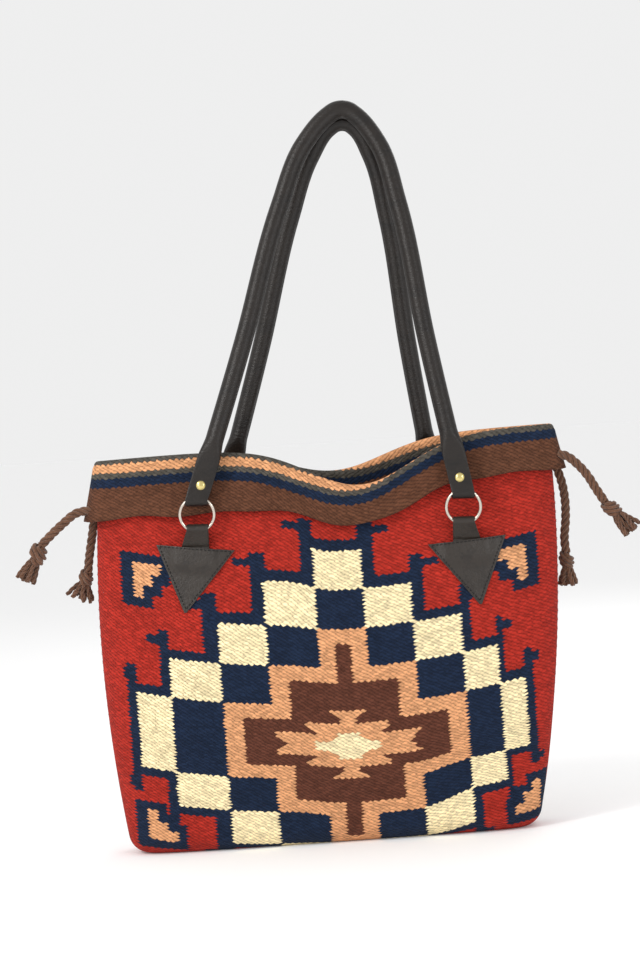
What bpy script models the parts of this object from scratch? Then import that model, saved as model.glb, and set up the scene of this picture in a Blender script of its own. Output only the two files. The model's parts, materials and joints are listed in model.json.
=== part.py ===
"""A hand-woven wool tote bag with rolled leather handles, standing on its base.

One woven sheet is folded under the base and sewn up at the sides. Its top is
folded outward as a wide cuff, and the ends of its warp hang from the cuff's
four corners as knotted cords. Each of the two handles is a leather cover
rolled round a core. Its ends are flat straps, each folded through a ring and
riveted. Each ring hangs in a leather tab that is sewn under a triangular
leather patch.

Sizes are in millimetres and become metres when an object is made. The front
faces -Y, +X is on the right as the front is seen, and +Z is up. The origin is
on the ground, under the middle of the bag without its cords.

A handle and what carries it are placed on their ring line, which falls a
little to the right: u runs along it to the right, up is square to it, and out
is the distance from the bag's middle plane, towards -Y for the front handle
and towards +Y for the back one.
"""

import math

import bmesh
import bpy
import numpy as np
from mathutils import Vector

MM = 0.001
GAP = 0.3  # between pieces that touch

# The woven sheet
CLOTH = 3.5
HEIGHT = 376.5  # from the ground to the top fold
FOLD_RISE = 6.0  # how much higher the fold is at the right side than at the left
LEAN = 14.0  # how far the mouth's middle stands to the right of the base's middle
BASE_MIDDLE_X = -11.8
BASE_HALF_WIDTH = 189.5
WAIST_HALF_WIDTH = 213.5
MOUTH_HALF_WIDTH = 210.0
BASE_HALF_DEPTH = 38.0
WAIST_HALF_DEPTH = 40.0
MOUTH_HALF_DEPTH = 27.0
BASE_SQUARENESS = 5.0  # 2 is an ellipse, and more is nearer to a rectangle
WAIST_SQUARENESS = 2.6
MOUTH_SQUARENESS = 2.0
BASE_EDGE_RADIUS = 17.0
DIP_DEPTH = {"front": 42.0, "back": 28.0}  # the fold sags between the handles
DIP_X = {"front": 34.0, "back": 10.0}
DIP_WIDTH = 68.0

# The cuff, folded outward
CUFF_LEFT = 56.0
CUFF_RIGHT = 42.0
CUFF_DIP = 8.0  # how much narrower it is where the fold sags
CUFF_STEP_X = -15.0  # where it goes from its left width to its right width
CUFF_STEP_WIDTH = 200.0
CUFF_GAP = 2.0  # between the cuff and the panel behind it
CUFF_FLARE = 3.0  # how much further off its lower edge stands

# The rings and the line that they hang on
RING_RADIUS = 16.0  # to the middle of the wire
RING_WIRE = 3.0
RING_LEAN = math.radians(8.0)  # its top stands out over the cuff
RING_LINE_X = 4.0
RING_LINE_Z = 313.0
RING_LINE_TILT = math.radians(-2.3)
SPAN = {"front": 248.8, "back": 205.0}  # from ring to ring

# The leather tabs and patches
TAB_LEATHER = 1.2
TAB_WIDTH = 26.0
TAB_LOOP_WIDTH = 20.0
TAB_TUCK = 10.0  # how far it runs in under the patch
LAYER_GAP = 0.4  # between two layers of one folded strap
PATCH_LEATHER = 1.5
PATCH_WIDTH = 74.0
PATCH_HEIGHT = 61.5
PATCH_TIP = 2.0
PATCH_DROP = 31.5  # from the ring's middle to the patch's top edge
PATCH_SHIFT = 3.0  # outward from the ring's middle
PATCH_SKEW = 5.5  # how far its tip leans out of its own middle
PATCH_TURN = math.radians(5.3)
PATCH_COVER = 4.0  # how far it lies flat beyond the tab that it covers
PATCH_EASE = 14.0  # how softly it comes down from there

# The rolled handles
ROLL_RADIUS = 8.5
ROLL_LEATHER = 2.0
STRAP_LEATHER = 2.0
STRAP_WIDTH = 21.0
FLATTENED_EXTRA = 2.0  # where the roll flattens, it is this much wider
FLAP_LENGTH = 22.0  # how far the folded end comes back up behind
STRAP_CLOSED = 9.5  # where its two layers meet, above the loop's middle
RIVET_UP = 14.0
FLATTEN_FROM = 24.0
FLATTEN_TO = 60.0
APEX_HEIGHT = {"front": 377.0, "back": 367.0}  # above the ring line
APEX_SHIFT = 22.0  # to the right of the rings' middle
BOW = 1.35  # how late the handle leans in, and 1 is a straight line
FOLD_CLEARANCE = 1.0  # between the handle and the fold that it passes
ARCH = (  # share of the half span and share of the height, from ring to apex
    (1.0, 0.0),
    (0.908, 0.116),
    (0.688, 0.402),
    (0.447, 0.752),
    (0.283, 0.909),
)
APEX_RADIUS = 17.0  # of the handle's middle line at its top
SLOT_WIDTH = 1.2  # the last stretch of the roll's seam is left open
SLOT_LENGTH = 9.0
CORE_SHORT = 1.5  # from the roll's bore's end to the core's

# The rivets
RIVET_SHANK = 2.8
RIVET_HEAD = 8.4
RIVET_DOME = 1.5
RIVET_TAIL = 6.8
RIVET_TAIL_HEIGHT = 0.9

# The cords: each one's route from the cuff to its knot, then its tassel's end
CORD = 8.0
CORD_ROUTES = {
    "front_left": (
        (-222.2, -9.0, 328.0),
        (-235.5, -11.5, 326.0),
        (-250.0, -15.0, 316.0),
        (-263.5, -17.5, 304.5),
        (-270.5, -18.5, 298.0),
    ),
    "back_left": (
        (-221.5, 9.0, 317.3),
        (-224.0, 10.5, 304.0),
        (-226.6, 11.5, 292.0),
        (-229.0, 12.0, 280.0),
        (-231.0, 12.5, 267.5),
    ),
    "front_right": (
        (222.8, -9.0, 350.5),
        (231.0, -11.0, 347.5),
        (239.5, -13.5, 340.0),
        (248.5, -15.5, 328.5),
        (255.8, -17.0, 315.0),
        (263.0, -18.0, 302.5),
    ),
    "back_right": (
        (222.0, 9.0, 337.4),
        (226.5, 10.5, 321.0),
        (228.3, 11.5, 304.0),
        (227.5, 12.0, 286.0),
        (225.3, 12.0, 268.0),
        (226.0, 12.0, 255.0),
    ),
}
TASSEL_ENDS = {
    "front_left": (-287.5, -22.0, 265.0),
    "back_left": (-240.5, 15.0, 243.0),
    "front_right": (288.5, -22.0, 272.5),
    "back_right": (226.5, 13.0, 223.0),
}
KNOT_WIDTH = {"front_left": 16.0, "back_left": 13.0, "front_right": 14.0, "back_right": 13.0}
TASSEL_WIDTH = {"front_left": 20.0, "back_left": 27.0, "front_right": 24.0, "back_right": 21.0}
TASSEL_STRANDS = 5
STRAND_DEPTH = 0.16  # of the tassel's radius, between two strands

# How finely the solids are divided
SHEET_QUARTER = 13
SHEET_UP = 9
CUFF_DOWN = 3
FOLD_TURNS = 4
BASE_EDGE_TURNS = 3
SEAM_CROWDING = 1.4  # the sheet's columns are closer together at the side seams
PATCH_ACROSS = 8
PATCH_DOWN = 7
LOOP_TURNS = 6
ROLL_STEPS = 28
APEX_CROWDING = 1.7  # the roll's rings are closer together at its top
ROLL_SIDES = 12
BORE_SIDES = 10
RING_STEPS = 24
WIRE_SIDES = 7
RIVET_SIDES = 12

# What follows from the sizes
FACE_OF_CUFF = CLOTH * 2 + CUFF_GAP  # its outer face, from the bag's inner face


def sagitta(width):
    """How far the ring's arc rises within a loop of this width."""
    return RING_RADIUS - math.sqrt(RING_RADIUS**2 - (width / 2) ** 2)


def loop_radius(width):
    """The inside of a loop in which that arc can turn, with the slanting wire at its ends."""
    slanting = RING_WIRE / 2 * RING_RADIUS / (RING_RADIUS - sagitta(width))
    return sagitta(width) / 2 + slanting + GAP


# Each loop is wide enough for the ring's arc to turn in, and its middle, which
# is the hinge, lies half-way up that arc
STRAP_LOOP = loop_radius(STRAP_WIDTH)
STRAP_HINGE = RING_RADIUS - sagitta(STRAP_WIDTH) / 2
TAB_LOOP = loop_radius(TAB_LOOP_WIDTH)
TAB_HINGE = RING_RADIUS - sagitta(TAB_LOOP_WIDTH) / 2
TAB_STACK = 2 * TAB_LEATHER + LAYER_GAP
STRAP_STACK = 2 * STRAP_LEATHER + LAYER_GAP

COLOURS = {  # red, green, blue, metallic and roughness
    "wool": (0.36, 0.025, 0.02, 0.0, 0.95),
    "yarn": (0.10, 0.05, 0.037, 0.0, 0.95),
    "leather": (0.042, 0.034, 0.03, 0.0, 0.5),
    "core": (0.62, 0.56, 0.46, 0.0, 0.9),
    "brass": (0.68, 0.6, 0.26, 1.0, 0.3),
    "nickel": (0.69, 0.62, 0.57, 1.0, 0.25),
}


def smooth_step(share):
    """0 up to 0, 1 from 1 on, and an even S between them."""
    share = np.clip(share, 0.0, 1.0)
    return share * share * (3 - 2 * share)


def smooth_curve(points, steps):
    """A smooth curve through the points, each stretch in that many steps.

    At each point it heads as the parabola through that point and its two
    neighbours does, with the distance between them as its measure.
    """
    points = np.array(points, float)
    padded = np.vstack([2 * points[0] - points[1], points, 2 * points[-1] - points[-2]])
    chords = np.linalg.norm(np.diff(padded, axis=0), axis=1)[:, None]
    rates = np.diff(padded, axis=0) / chords
    heads = (rates[:-1] * chords[1:] + rates[1:] * chords[:-1]) / (chords[1:] + chords[:-1])
    t = (np.arange(steps) / steps)[:, None]
    stretches = []
    for start, end, leave, arrive, chord in zip(points, points[1:], heads, heads[1:], chords[1:]):
        bend = (2 * t**3 - 3 * t**2 + 1) * start + (3 * t**2 - 2 * t**3) * end
        stretches.append(bend + chord * ((t**3 - 2 * t**2 + t) * leave + (t**3 - t**2) * arrive))
    return np.vstack([*stretches, points[-1:]])


def evenly(curve, spots):
    """The curve's points at these distances along it."""
    run = np.concatenate([[0.0], np.cumsum(np.linalg.norm(np.diff(curve, axis=0), axis=1))])
    return np.stack([np.interp(spots, run, part) for part in curve.T], axis=1)


def length_of(curve):
    return float(np.linalg.norm(np.diff(curve, axis=0), axis=1).sum())


def through(level, base, waist, mouth):
    """The parabola with these values at the base, half-way up and at the mouth."""
    at_base = base * (2 * level - 1) * (level - 1)
    at_waist = waist * 4 * level * (1 - level)
    return at_base + at_waist + mouth * level * (2 * level - 1)


def half_width(level):
    return through(level, BASE_HALF_WIDTH, WAIST_HALF_WIDTH, MOUTH_HALF_WIDTH)


def half_depth(level):
    return through(level, BASE_HALF_DEPTH, WAIST_HALF_DEPTH, MOUTH_HALF_DEPTH)


def squareness(level):
    return through(level, BASE_SQUARENESS, WAIST_SQUARENESS, MOUTH_SQUARENESS)


def middle_x(level):
    return BASE_MIDDLE_X + LEAN * level


def dip(x, side):
    """How deep the fold sags at x, as a share of its deepest."""
    return np.exp(-(((x - DIP_X[side]) / DIP_WIDTH) ** 2))


def fold_height(x, side):
    """The height of the top fold above the ground."""
    rise = FOLD_RISE * x / (2 * MOUTH_HALF_WIDTH)
    return HEIGHT + rise - DIP_DEPTH[side] * dip(x, side)


def cuff_width(x, side):
    """How far the cuff hangs down from the fold."""
    step = smooth_step((x - CUFF_STEP_X) / CUFF_STEP_WIDTH + 0.5)
    return CUFF_LEFT + (CUFF_RIGHT - CUFF_LEFT) * step - CUFF_DIP * dip(x, side)


def inner_face(turn, level):
    """A point of the bag's inner face, its outward normal and its side.

    turn runs from 0 at the right seam by 1 at the back's middle, 2 at the left
    seam and 3 at the front's middle to 4. Each quarter is a quarter of a
    superellipse, and turn divides it evenly along its length.
    """
    quarter = int(turn) % 4
    along = turn - int(turn)
    if quarter % 2:
        along = 1 - along
    a = half_width(level)
    b = half_depth(level)
    n = squareness(level)
    angle = np.linspace(0.0, math.pi / 2, 241)
    arc = np.stack([a * np.cos(angle) ** (2 / n), b * np.sin(angle) ** (2 / n)], axis=1)
    x, y = evenly(arc, [along * length_of(arc)])[0]
    normal = np.array([(x / a) ** (n - 1) / a, (y / b) ** (n - 1) / b])
    normal /= np.linalg.norm(normal)
    side = "back" if quarter in (0, 1) else "front"
    signs = np.array([1 if quarter in (0, 3) else -1, 1 if side == "back" else -1])
    return signs * (x, y) + (middle_x(level), 0.0), signs * normal, side


def sheet_point(turn, level, stand_off, drop=0.0):
    """A point of the sheet, that far outside the inner face and below its level."""
    point, normal, side = inner_face(turn, level)
    height = level * fold_height(point[0], side) - drop
    return np.array([*(point + normal * stand_off), height])


def cuff_point(turn, share):
    """A point of the cuff's middle surface, that share of its width down."""
    point, _, side = inner_face(turn, 1.0)
    level = 1 - share * cuff_width(point[0], side) / fold_height(point[0], side)
    return sheet_point(turn, level, CLOTH * 1.5 + CUFF_GAP + CUFF_FLARE * share**2)


def base_point(turn, angle):
    """A point of the round edge at the base, from 0 at the ground to a right angle."""
    radius = BASE_EDGE_RADIUS - CLOTH / 2
    height = CLOTH / 2 + radius * (1 - math.cos(angle))
    inset = radius * (1 - math.sin(angle))
    level = height / HEIGHT
    x, y, _ = sheet_point(turn, level, CLOTH / 2)
    middle = middle_x(level)
    x = middle + (x - middle) * (1 - inset / (half_width(level) + CLOTH / 2))
    y *= 1 - inset / (half_depth(level) + CLOTH / 2)
    return np.array([x, y, height])


def panel_reach(x, z, side, stand_off):
    """How far from the bag's middle plane a layer of its panel lies at x and z."""
    level = np.clip(z / fold_height(x, side), 0.0, 1.0)
    n = squareness(level)
    share = np.clip(np.abs(x - middle_x(level)) / half_width(level), 0.0, 0.98)
    depth = half_depth(level) * (1 - share**n) ** (1 / n)
    slope = half_depth(level) / half_width(level) * (share ** (n - 1)) * (1 - share**n) ** (1 / n - 1)
    return depth + stand_off * np.sqrt(1 + slope**2)


def sheet_turns():
    """The turns at which the sheet has its columns."""
    from_seam = (np.arange(SHEET_QUARTER) / SHEET_QUARTER) ** SEAM_CROWDING
    to_seam = 2 - (np.arange(SHEET_QUARTER, 0, -1) / SHEET_QUARTER) ** SEAM_CROWDING
    return np.concatenate([from_seam, to_seam, from_seam + 2, to_seam + 2])


def sheet_rows():
    """The sheet's middle surface, from the base's middle up, over the fold and down."""
    turns = sheet_turns()
    angles = np.linspace(0.0, math.pi / 2, BASE_EDGE_TURNS + 1)
    rows = [np.array([base_point(turn, angle) for turn in turns]) for angle in angles]
    middle = np.array([BASE_MIDDLE_X, 0.0, CLOTH / 2])
    rows.insert(0, middle + (rows[0] - middle) / 2)
    lowest = BASE_EDGE_RADIUS / HEIGHT
    for level in np.linspace(lowest, 1.0, SHEET_UP + 2)[1:-1]:
        rows.append(np.array([sheet_point(turn, level, CLOTH / 2) for turn in turns]))
    radius = (CLOTH + CUFF_GAP) / 2
    for angle in np.linspace(0.0, math.pi, FOLD_TURNS + 1):
        stand_off = CLOTH + CUFF_GAP / 2 - radius * math.cos(angle)
        drop = CLOTH / 2 + radius * (1 - math.sin(angle))
        rows.append(np.array([sheet_point(turn, 1.0, stand_off, drop) for turn in turns]))
    for share in np.linspace(0.0, 1.0, CUFF_DOWN + 1)[1:]:
        rows.append(np.array([cuff_point(turn, share) for turn in turns]))
    return rows


def on_ring_line(u, up):
    """World x and z of a point beside the ring line."""
    x = RING_LINE_X + u * math.cos(RING_LINE_TILT) - up * math.sin(RING_LINE_TILT)
    z = RING_LINE_Z + u * math.sin(RING_LINE_TILT) + up * math.cos(RING_LINE_TILT)
    return x, z


def placed(points, side):
    """World places of points given as u, out and up."""
    u, out, up = np.moveaxis(np.asarray(points, float), -1, 0)
    x, z = on_ring_line(u, up)
    return np.stack([x, -out if side == "front" else out, z], axis=-1)


def reach_at(u, up, side, stand_off):
    """How far out a layer of the panel lies at a point beside the ring line."""
    x, z = on_ring_line(u, up)
    return panel_reach(x, z, side, stand_off)


def arch_curve(side):
    """The handle's middle line as u and up, from the left strap loop to the right one.

    It follows the arch's shares up each leg and an eighth of a circle on each
    side of its top.
    """
    foot = STRAP_HINGE * math.cos(RING_LEAN)
    rise = APEX_HEIGHT[side] - foot
    right = [(share * SPAN[side] / 2, height * rise) for share, height in ARCH]
    for angle in (math.pi / 4, math.pi / 8):
        right.append((APEX_RADIUS * math.sin(angle), rise - APEX_RADIUS * (1 - math.cos(angle))))
    left = [(-u, height) for u, height in right]
    curve = smooth_curve([*left, (0.0, rise), *reversed(right)], 12)
    return np.stack([curve[:, 0] + APEX_SHIFT * curve[:, 1] / rise, foot + curve[:, 1]], axis=1)


def strap_hinge_out():
    """How far out the strap loops hang, so that both handles clear cuff and fold."""
    needed = []
    at_apex = ROLL_RADIUS + GAP / 2
    for side in SPAN:
        curve = arch_curve(side)
        for end in (curve[: len(curve) // 2], curve[len(curve) // 2 :][::-1]):
            x, z = on_ring_line(end[:, 0], end[:, 1])
            above = z - fold_height(x, side)
            crossing = end[int(np.argmax(above > 0))]
            share = (crossing[1] - end[0, 1]) / (APEX_HEIGHT[side] - end[0, 1])
            fold = reach_at(*crossing, side, FACE_OF_CUFF) + ROLL_RADIUS + FOLD_CLEARANCE
            needed.append(at_apex + (fold - at_apex) / (1 - share**BOW))
            for u in (end[0, 0] - STRAP_WIDTH / 2, end[0, 0] + STRAP_WIDTH / 2):
                cuff = reach_at(u, 0.0, side, FACE_OF_CUFF + CUFF_FLARE)
                needed.append(cuff + STRAP_LOOP + STRAP_LEATHER + GAP)
    return max(needed)


STRAP_OUT = strap_hinge_out()
STRAP_UP = STRAP_HINGE * math.cos(RING_LEAN)
RING_OUT = STRAP_OUT - STRAP_HINGE * math.sin(RING_LEAN)
TAB_OUT = RING_OUT - TAB_HINGE * math.sin(RING_LEAN)
TAB_UP = -TAB_HINGE * math.cos(RING_LEAN)


def handle_line(side):
    """The handle's middle line as u, out and up, before its ends flatten."""
    curve = arch_curve(side)
    share = (curve[:, 1] - STRAP_UP) / (APEX_HEIGHT[side] - STRAP_UP)
    at_apex = ROLL_RADIUS + GAP / 2
    out = at_apex + (STRAP_OUT - at_apex) * (1 - np.clip(share, 0.0, 1.0) ** BOW)
    return np.stack([curve[:, 0], out, curve[:, 1]], axis=1)


def roundness(from_end):
    """0 on the flat strap, 1 on the round roll."""
    return smooth_step((from_end - FLATTEN_FROM) / (FLATTEN_TO - FLATTEN_FROM))


def inward(tangents):
    """The direction in the arch's plane that points to its inside."""
    across = np.stack([tangents[:, 2], np.zeros(len(tangents)), -tangents[:, 0]], axis=1)
    return across / np.linalg.norm(across, axis=1)[:, None]


def unit(vectors):
    return vectors / np.linalg.norm(vectors, axis=-1, keepdims=True)


def oval(sides, power):
    """Points round a superellipse of half sizes 1, as two columns."""
    angle = np.arange(sides) * 2 * math.pi / sides
    circle = np.stack([np.cos(angle), np.sin(angle)], axis=1)
    return np.sign(circle) * np.abs(circle) ** (2 / power)


def carried(centres, across, through_wall, half_sizes, sides, powers):
    """Rings of points: an oval carried along the centres."""
    rows = []
    for centre, w, n, (wide, thick), power in zip(centres, across, through_wall, half_sizes, powers):
        shape = oval(sides, power)
        rows.append(centre + shape[:, :1] * wide * w + shape[:, 1:] * thick * n)
    return rows


def on_line(line, spots):
    """Points at these distances along a handle's line, and its inward and outward directions."""
    tangents = unit(evenly(line, spots + 0.5) - evenly(line, spots - 0.5))
    across = inward(tangents)
    return evenly(line, spots), across, unit(np.cross(tangents, across))


def roll_stations(side):
    """The stations past the loops: middle, inward, outward and distance from the end."""
    line = handle_line(side)
    whole = length_of(line)
    ends = np.array([STRAP_CLOSED, RIVET_UP, FLATTEN_FROM])
    flattening = np.linspace(FLATTEN_FROM, FLATTEN_TO, 6)[1:]
    start = np.concatenate([ends, flattening])
    spots = np.concatenate([start, roll_spots(whole), whole - start[::-1]])
    return *on_line(line, spots), np.minimum(spots, whole - spots)


def roll_spots(whole):
    """Distances along the round stretch, closer together where it bends at the top."""
    share = np.linspace(-1.0, 1.0, ROLL_STEPS + 1)[1:-1]
    reach = whole / 2 - FLATTEN_TO
    return whole / 2 + np.sign(share) * np.abs(share) ** APEX_CROWDING * reach


def strap_end(side, sign):
    """The folded end of a strap, from its free end down, under the ring's wire and up."""
    line = handle_line(side)
    spots = np.array([FLAP_LENGTH, RIVET_UP, STRAP_CLOSED])
    if sign > 0:
        spots = length_of(line) - spots
    centres, across, thick = on_line(line, spots)
    centres = centres - thick * (STRAP_STACK - STRAP_LEATHER) / 2
    angles = np.linspace(math.pi, 2 * math.pi, LOOP_TURNS + 1)
    away = np.stack([0 * angles, np.cos(angles), np.sin(angles)], axis=1)
    hinge = np.array([sign * SPAN[side] / 2, STRAP_OUT, STRAP_UP])
    loop = hinge + (STRAP_LOOP + STRAP_LEATHER / 2) * away
    beside = np.array([[-sign, 0.0, 0.0]] * len(loop))
    return np.vstack([centres, loop]), np.vstack([across, beside]), np.vstack([-thick, away])


def handle_cover_rows(side):
    """Rings of points from the left strap's free end to the right one's."""
    centres, across, thick, from_end = roll_stations(side)
    share = roundness(from_end)
    centres = centres + thick * ((1 - share) * (STRAP_STACK - STRAP_LEATHER) / 2)[:, None]
    left = strap_end(side, -1)
    right = [part[::-1] for part in strap_end(side, 1)]
    ends = np.zeros(len(left[0]))
    share = np.concatenate([ends, share, ends])
    wide = STRAP_WIDTH / 2 + (ROLL_RADIUS - STRAP_WIDTH / 2) * share
    wide += FLATTENED_EXTRA / 2 * 4 * share * (1 - share)
    half_thick = STRAP_LEATHER / 2 + (ROLL_RADIUS - STRAP_LEATHER / 2) * share
    return carried(
        np.vstack([left[0], centres, right[0]]),
        np.vstack([left[1], across, right[1]]),
        np.vstack([left[2], thick, right[2]]),
        np.stack([wide, half_thick], axis=1),
        ROLL_SIDES,
        2 + 4 * (1 - share),
    )


def round_rows(side, radius, ends):
    """Rings of points along the round stretch, whose ends lie these distances past its start."""
    line = handle_line(side)
    whole = length_of(line)
    ends = FLATTEN_TO + np.array(ends)
    spots = np.concatenate([ends, roll_spots(whole), whole - ends[::-1]])
    half_sizes = [(radius, radius)] * len(spots)
    return carried(*on_line(line, spots), half_sizes, BORE_SIDES, [2.0] * len(spots))


def skin(rows, closed=False):
    """Vertices and faces of a closed solid from rings of points along it.

    The two end rings are capped, or joined to each other where it is closed.
    """
    rows = np.array(rows)
    count, sides = rows.shape[:2]
    vertices = rows.reshape(-1, 3)
    faces = []
    for row in range(count if closed else count - 1):
        for k in range(sides):
            here, beside = row * sides + k, row * sides + (k + 1) % sides
            ahead = (row + 1) % count * sides
            faces.append((here, beside, ahead + (k + 1) % sides, ahead + k))
    if not closed:
        faces.append(tuple(range(sides))[::-1])
        faces.append(tuple(range((count - 1) * sides, count * sides)))
    return vertices, faces


def grid(rows):
    """Vertices and faces of an open sheet from rows of points."""
    rows = np.array(rows)
    count, wide = rows.shape[:2]
    faces = []
    for row in range(count - 1):
        for k in range(wide - 1):
            corner = row * wide + k
            faces.append((corner, corner + 1, corner + 1 + wide, corner + wide))
    return rows.reshape(-1, 3), faces


def turned(profile, sides):
    """Rings of points of a solid of revolution, from its radii and heights."""
    rows = []
    for radius, height in profile:
        shape = oval(sides, 2) * radius
        rows.append(np.column_stack([shape, np.full(sides, height)]))
    return rows


def material(name):
    """The Principled material of this finish, made once."""
    if name in bpy.data.materials:
        return bpy.data.materials[name]
    made = bpy.data.materials.new(name)
    made.use_nodes = True
    shader = made.node_tree.nodes["Principled BSDF"]
    red, green, blue, metallic, roughness = COLOURS[name]
    shader.inputs["Base Color"].default_value = (red, green, blue, 1.0)
    shader.inputs["Metallic"].default_value = metallic
    shader.inputs["Roughness"].default_value = roughness
    made.diffuse_color = (red, green, blue, 1.0)
    return made


def empty(name, place):
    """A pivot at a place in millimetres, under which moving pieces hang."""
    made = bpy.data.objects.new(name, None)
    made.location = Vector(place) * MM
    made.empty_display_size = 0.02
    bpy.context.scene.collection.objects.link(made)
    return made


def solid(name, vertices, faces, finish, pivot=None, smooth=True):
    """A named object from points in millimetres, its faces turned outward."""
    mesh = bpy.data.meshes.new(name)
    origin = np.array(pivot.location) / MM if pivot else np.zeros(3)
    mesh.from_pydata(((vertices - origin) * MM).tolist(), [], faces)
    made = bpy.data.objects.new(name, mesh)
    bpy.context.scene.collection.objects.link(made)
    made.parent = pivot
    mesh.materials.append(material(finish))
    face_outward(mesh)
    if smooth:
        mesh.shade_smooth()
        mesh.set_sharp_from_angle(angle=math.radians(40))
    return made


def face_outward(mesh):
    work = bmesh.new()
    work.from_mesh(mesh)
    bmesh.ops.recalc_face_normals(work, faces=work.faces)
    work.to_mesh(mesh)
    work.free()


def thicken(made, thickness):
    """Give a sheet its thickness, half on each side of its middle surface."""
    wall = made.modifiers.new("wall", "SOLIDIFY")
    wall.thickness = thickness * MM
    wall.offset = 0.0
    wall.use_even_offset = True


def cut(made, cutter):
    """Take a hidden cutter's shape out of an object."""
    cutter.hide_render = True
    cutter.display_type = "WIRE"
    removal = made.modifiers.new(cutter.name, "BOOLEAN")
    removal.operation = "DIFFERENCE"
    removal.solver = "EXACT"
    removal.object = cutter


def make_sheet():
    rows = sheet_rows()
    vertices, faces = skin(rows)
    made = solid("wool_shell", vertices, faces[:-2], "wool")
    close_base(made.data, len(rows[0]))
    thicken(made, CLOTH)


def close_base(mesh, sides):
    """Fill the ring in the base's middle with a fan."""
    work = bmesh.new()
    work.from_mesh(mesh)
    work.verts.ensure_lookup_table()
    ring = [work.verts[k] for k in range(sides)]
    hub = work.verts.new(sum((v.co for v in ring), Vector()) / sides)
    for here, beside in zip(ring, ring[1:] + ring[:1]):
        work.faces.new((here, beside, hub))
    bmesh.ops.recalc_face_normals(work, faces=work.faces)
    work.to_mesh(mesh)
    work.free()


def tab_rows(side, sign):
    """Rows across the tab, from under the patch up, over the ring's wire and back."""
    hinge_u = sign * SPAN[side] / 2
    foot_u = hinge_u + sign * PATCH_SHIFT
    radius = TAB_LOOP + TAB_LEATHER / 2
    layers = {"under": TAB_LEATHER / 2, "over": TAB_STACK - TAB_LEATHER / 2}
    rows = []

    def on_panel(up, layer):
        u = foot_u + np.linspace(-TAB_WIDTH / 2, TAB_WIDTH / 2, 3)
        out = reach_at(u, up, side, CLOTH) + GAP + layers[layer]
        rows.append(np.stack([u, out, np.full(3, up)], axis=1))

    for up in (-PATCH_DROP - TAB_TUCK, -PATCH_DROP - TAB_TUCK / 2, -PATCH_DROP + 1):
        on_panel(up, "under")
    for angle in np.linspace(math.pi, 0.0, LOOP_TURNS + 1):
        u = hinge_u + np.linspace(-TAB_LOOP_WIDTH / 2, TAB_LOOP_WIDTH / 2, 3)
        out = TAB_OUT + radius * math.cos(angle)
        rows.append(np.stack([u, np.full(3, out), np.full(3, TAB_UP + radius * math.sin(angle))], axis=1))
    for up in (-PATCH_DROP + 1, -PATCH_DROP - TAB_TUCK / 2, -PATCH_DROP - TAB_TUCK):
        on_panel(up, "over")
    return placed(rows, side)


def patch_rows(side, sign):
    """Rows across the patch from its top edge to its tip, raised over the tab."""
    outward = np.array([sign * math.cos(PATCH_TURN), math.sin(PATCH_TURN)])
    downward = np.array([sign * math.sin(PATCH_TURN), -math.cos(PATCH_TURN)])
    foot_u = sign * (SPAN[side] / 2 + PATCH_SHIFT)
    rows = []
    for q in np.linspace(0.0, 1.0, PATCH_DOWN + 1):
        width = PATCH_WIDTH + (PATCH_TIP - PATCH_WIDTH) * q
        across = np.linspace(-width / 2, width / 2, PATCH_ACROSS + 1) + PATCH_SKEW * q
        spots = (foot_u, -PATCH_DROP) + across[:, None] * outward + q * PATCH_HEIGHT * downward
        beside = np.abs(spots[:, 0] - foot_u) - TAB_WIDTH / 2 - PATCH_COVER
        below = q * PATCH_HEIGHT - TAB_TUCK - PATCH_COVER
        raised = (1 - smooth_step(beside / PATCH_EASE)) * (1 - smooth_step(below / PATCH_EASE))
        out = reach_at(spots[:, 0], spots[:, 1], side, CLOTH) + GAP + PATCH_LEATHER / 2
        rows.append(np.stack([spots[:, 0], out + raised * (TAB_STACK + GAP), spots[:, 1]], axis=1))
    return placed(rows, side)


def ring_rows(u):
    """Rings of points round the wire, about a circle that leans out at its top."""
    upward = np.array([0.0, math.sin(RING_LEAN), math.cos(RING_LEAN)])
    beside = np.array([1.0, 0.0, 0.0])
    square = np.cross(beside, upward)
    rows = []
    for angle in np.arange(RING_STEPS) * 2 * math.pi / RING_STEPS:
        away = math.cos(angle) * beside + math.sin(angle) * upward
        shape = oval(WIRE_SIDES, 2) * RING_WIRE / 2
        rows.append((u, RING_OUT, 0.0) + (RING_RADIUS + shape[:, :1]) * away + shape[:, 1:] * square)
    return rows


def rivet_profile():
    """Radius and height from the dome to the tail, about the middle of the two layers."""
    face = STRAP_STACK / 2 + GAP
    return (
        (RIVET_HEAD * 0.16, face + RIVET_DOME),
        (RIVET_HEAD * 0.38, face + RIVET_DOME * 0.7),
        (RIVET_HEAD / 2, face + RIVET_DOME * 0.12),
        (RIVET_HEAD / 2, face),
        (RIVET_SHANK / 2, face),
        (RIVET_SHANK / 2, -face),
        (RIVET_TAIL / 2, -face),
        (RIVET_TAIL / 2 * 0.8, -face - RIVET_TAIL_HEIGHT),
    )


def rivet_frame(side, sign):
    """The rivet's middle and its axes, the last one pointing out."""
    centres, across, thick, _ = roll_stations(side)
    station = 1 if sign < 0 else -2
    axis = thick[station]
    beside = unit(across[station] - axis * (across[station] @ axis))
    return centres[station], beside, np.cross(axis, beside), axis


def framed(rows, frame):
    """Rings of points put from their own axes into a frame."""
    middle, first, second, third = frame
    return [middle + row[:, :1] * first + row[:, 1:2] * second + row[:, 2:] * third for row in rows]


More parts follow.
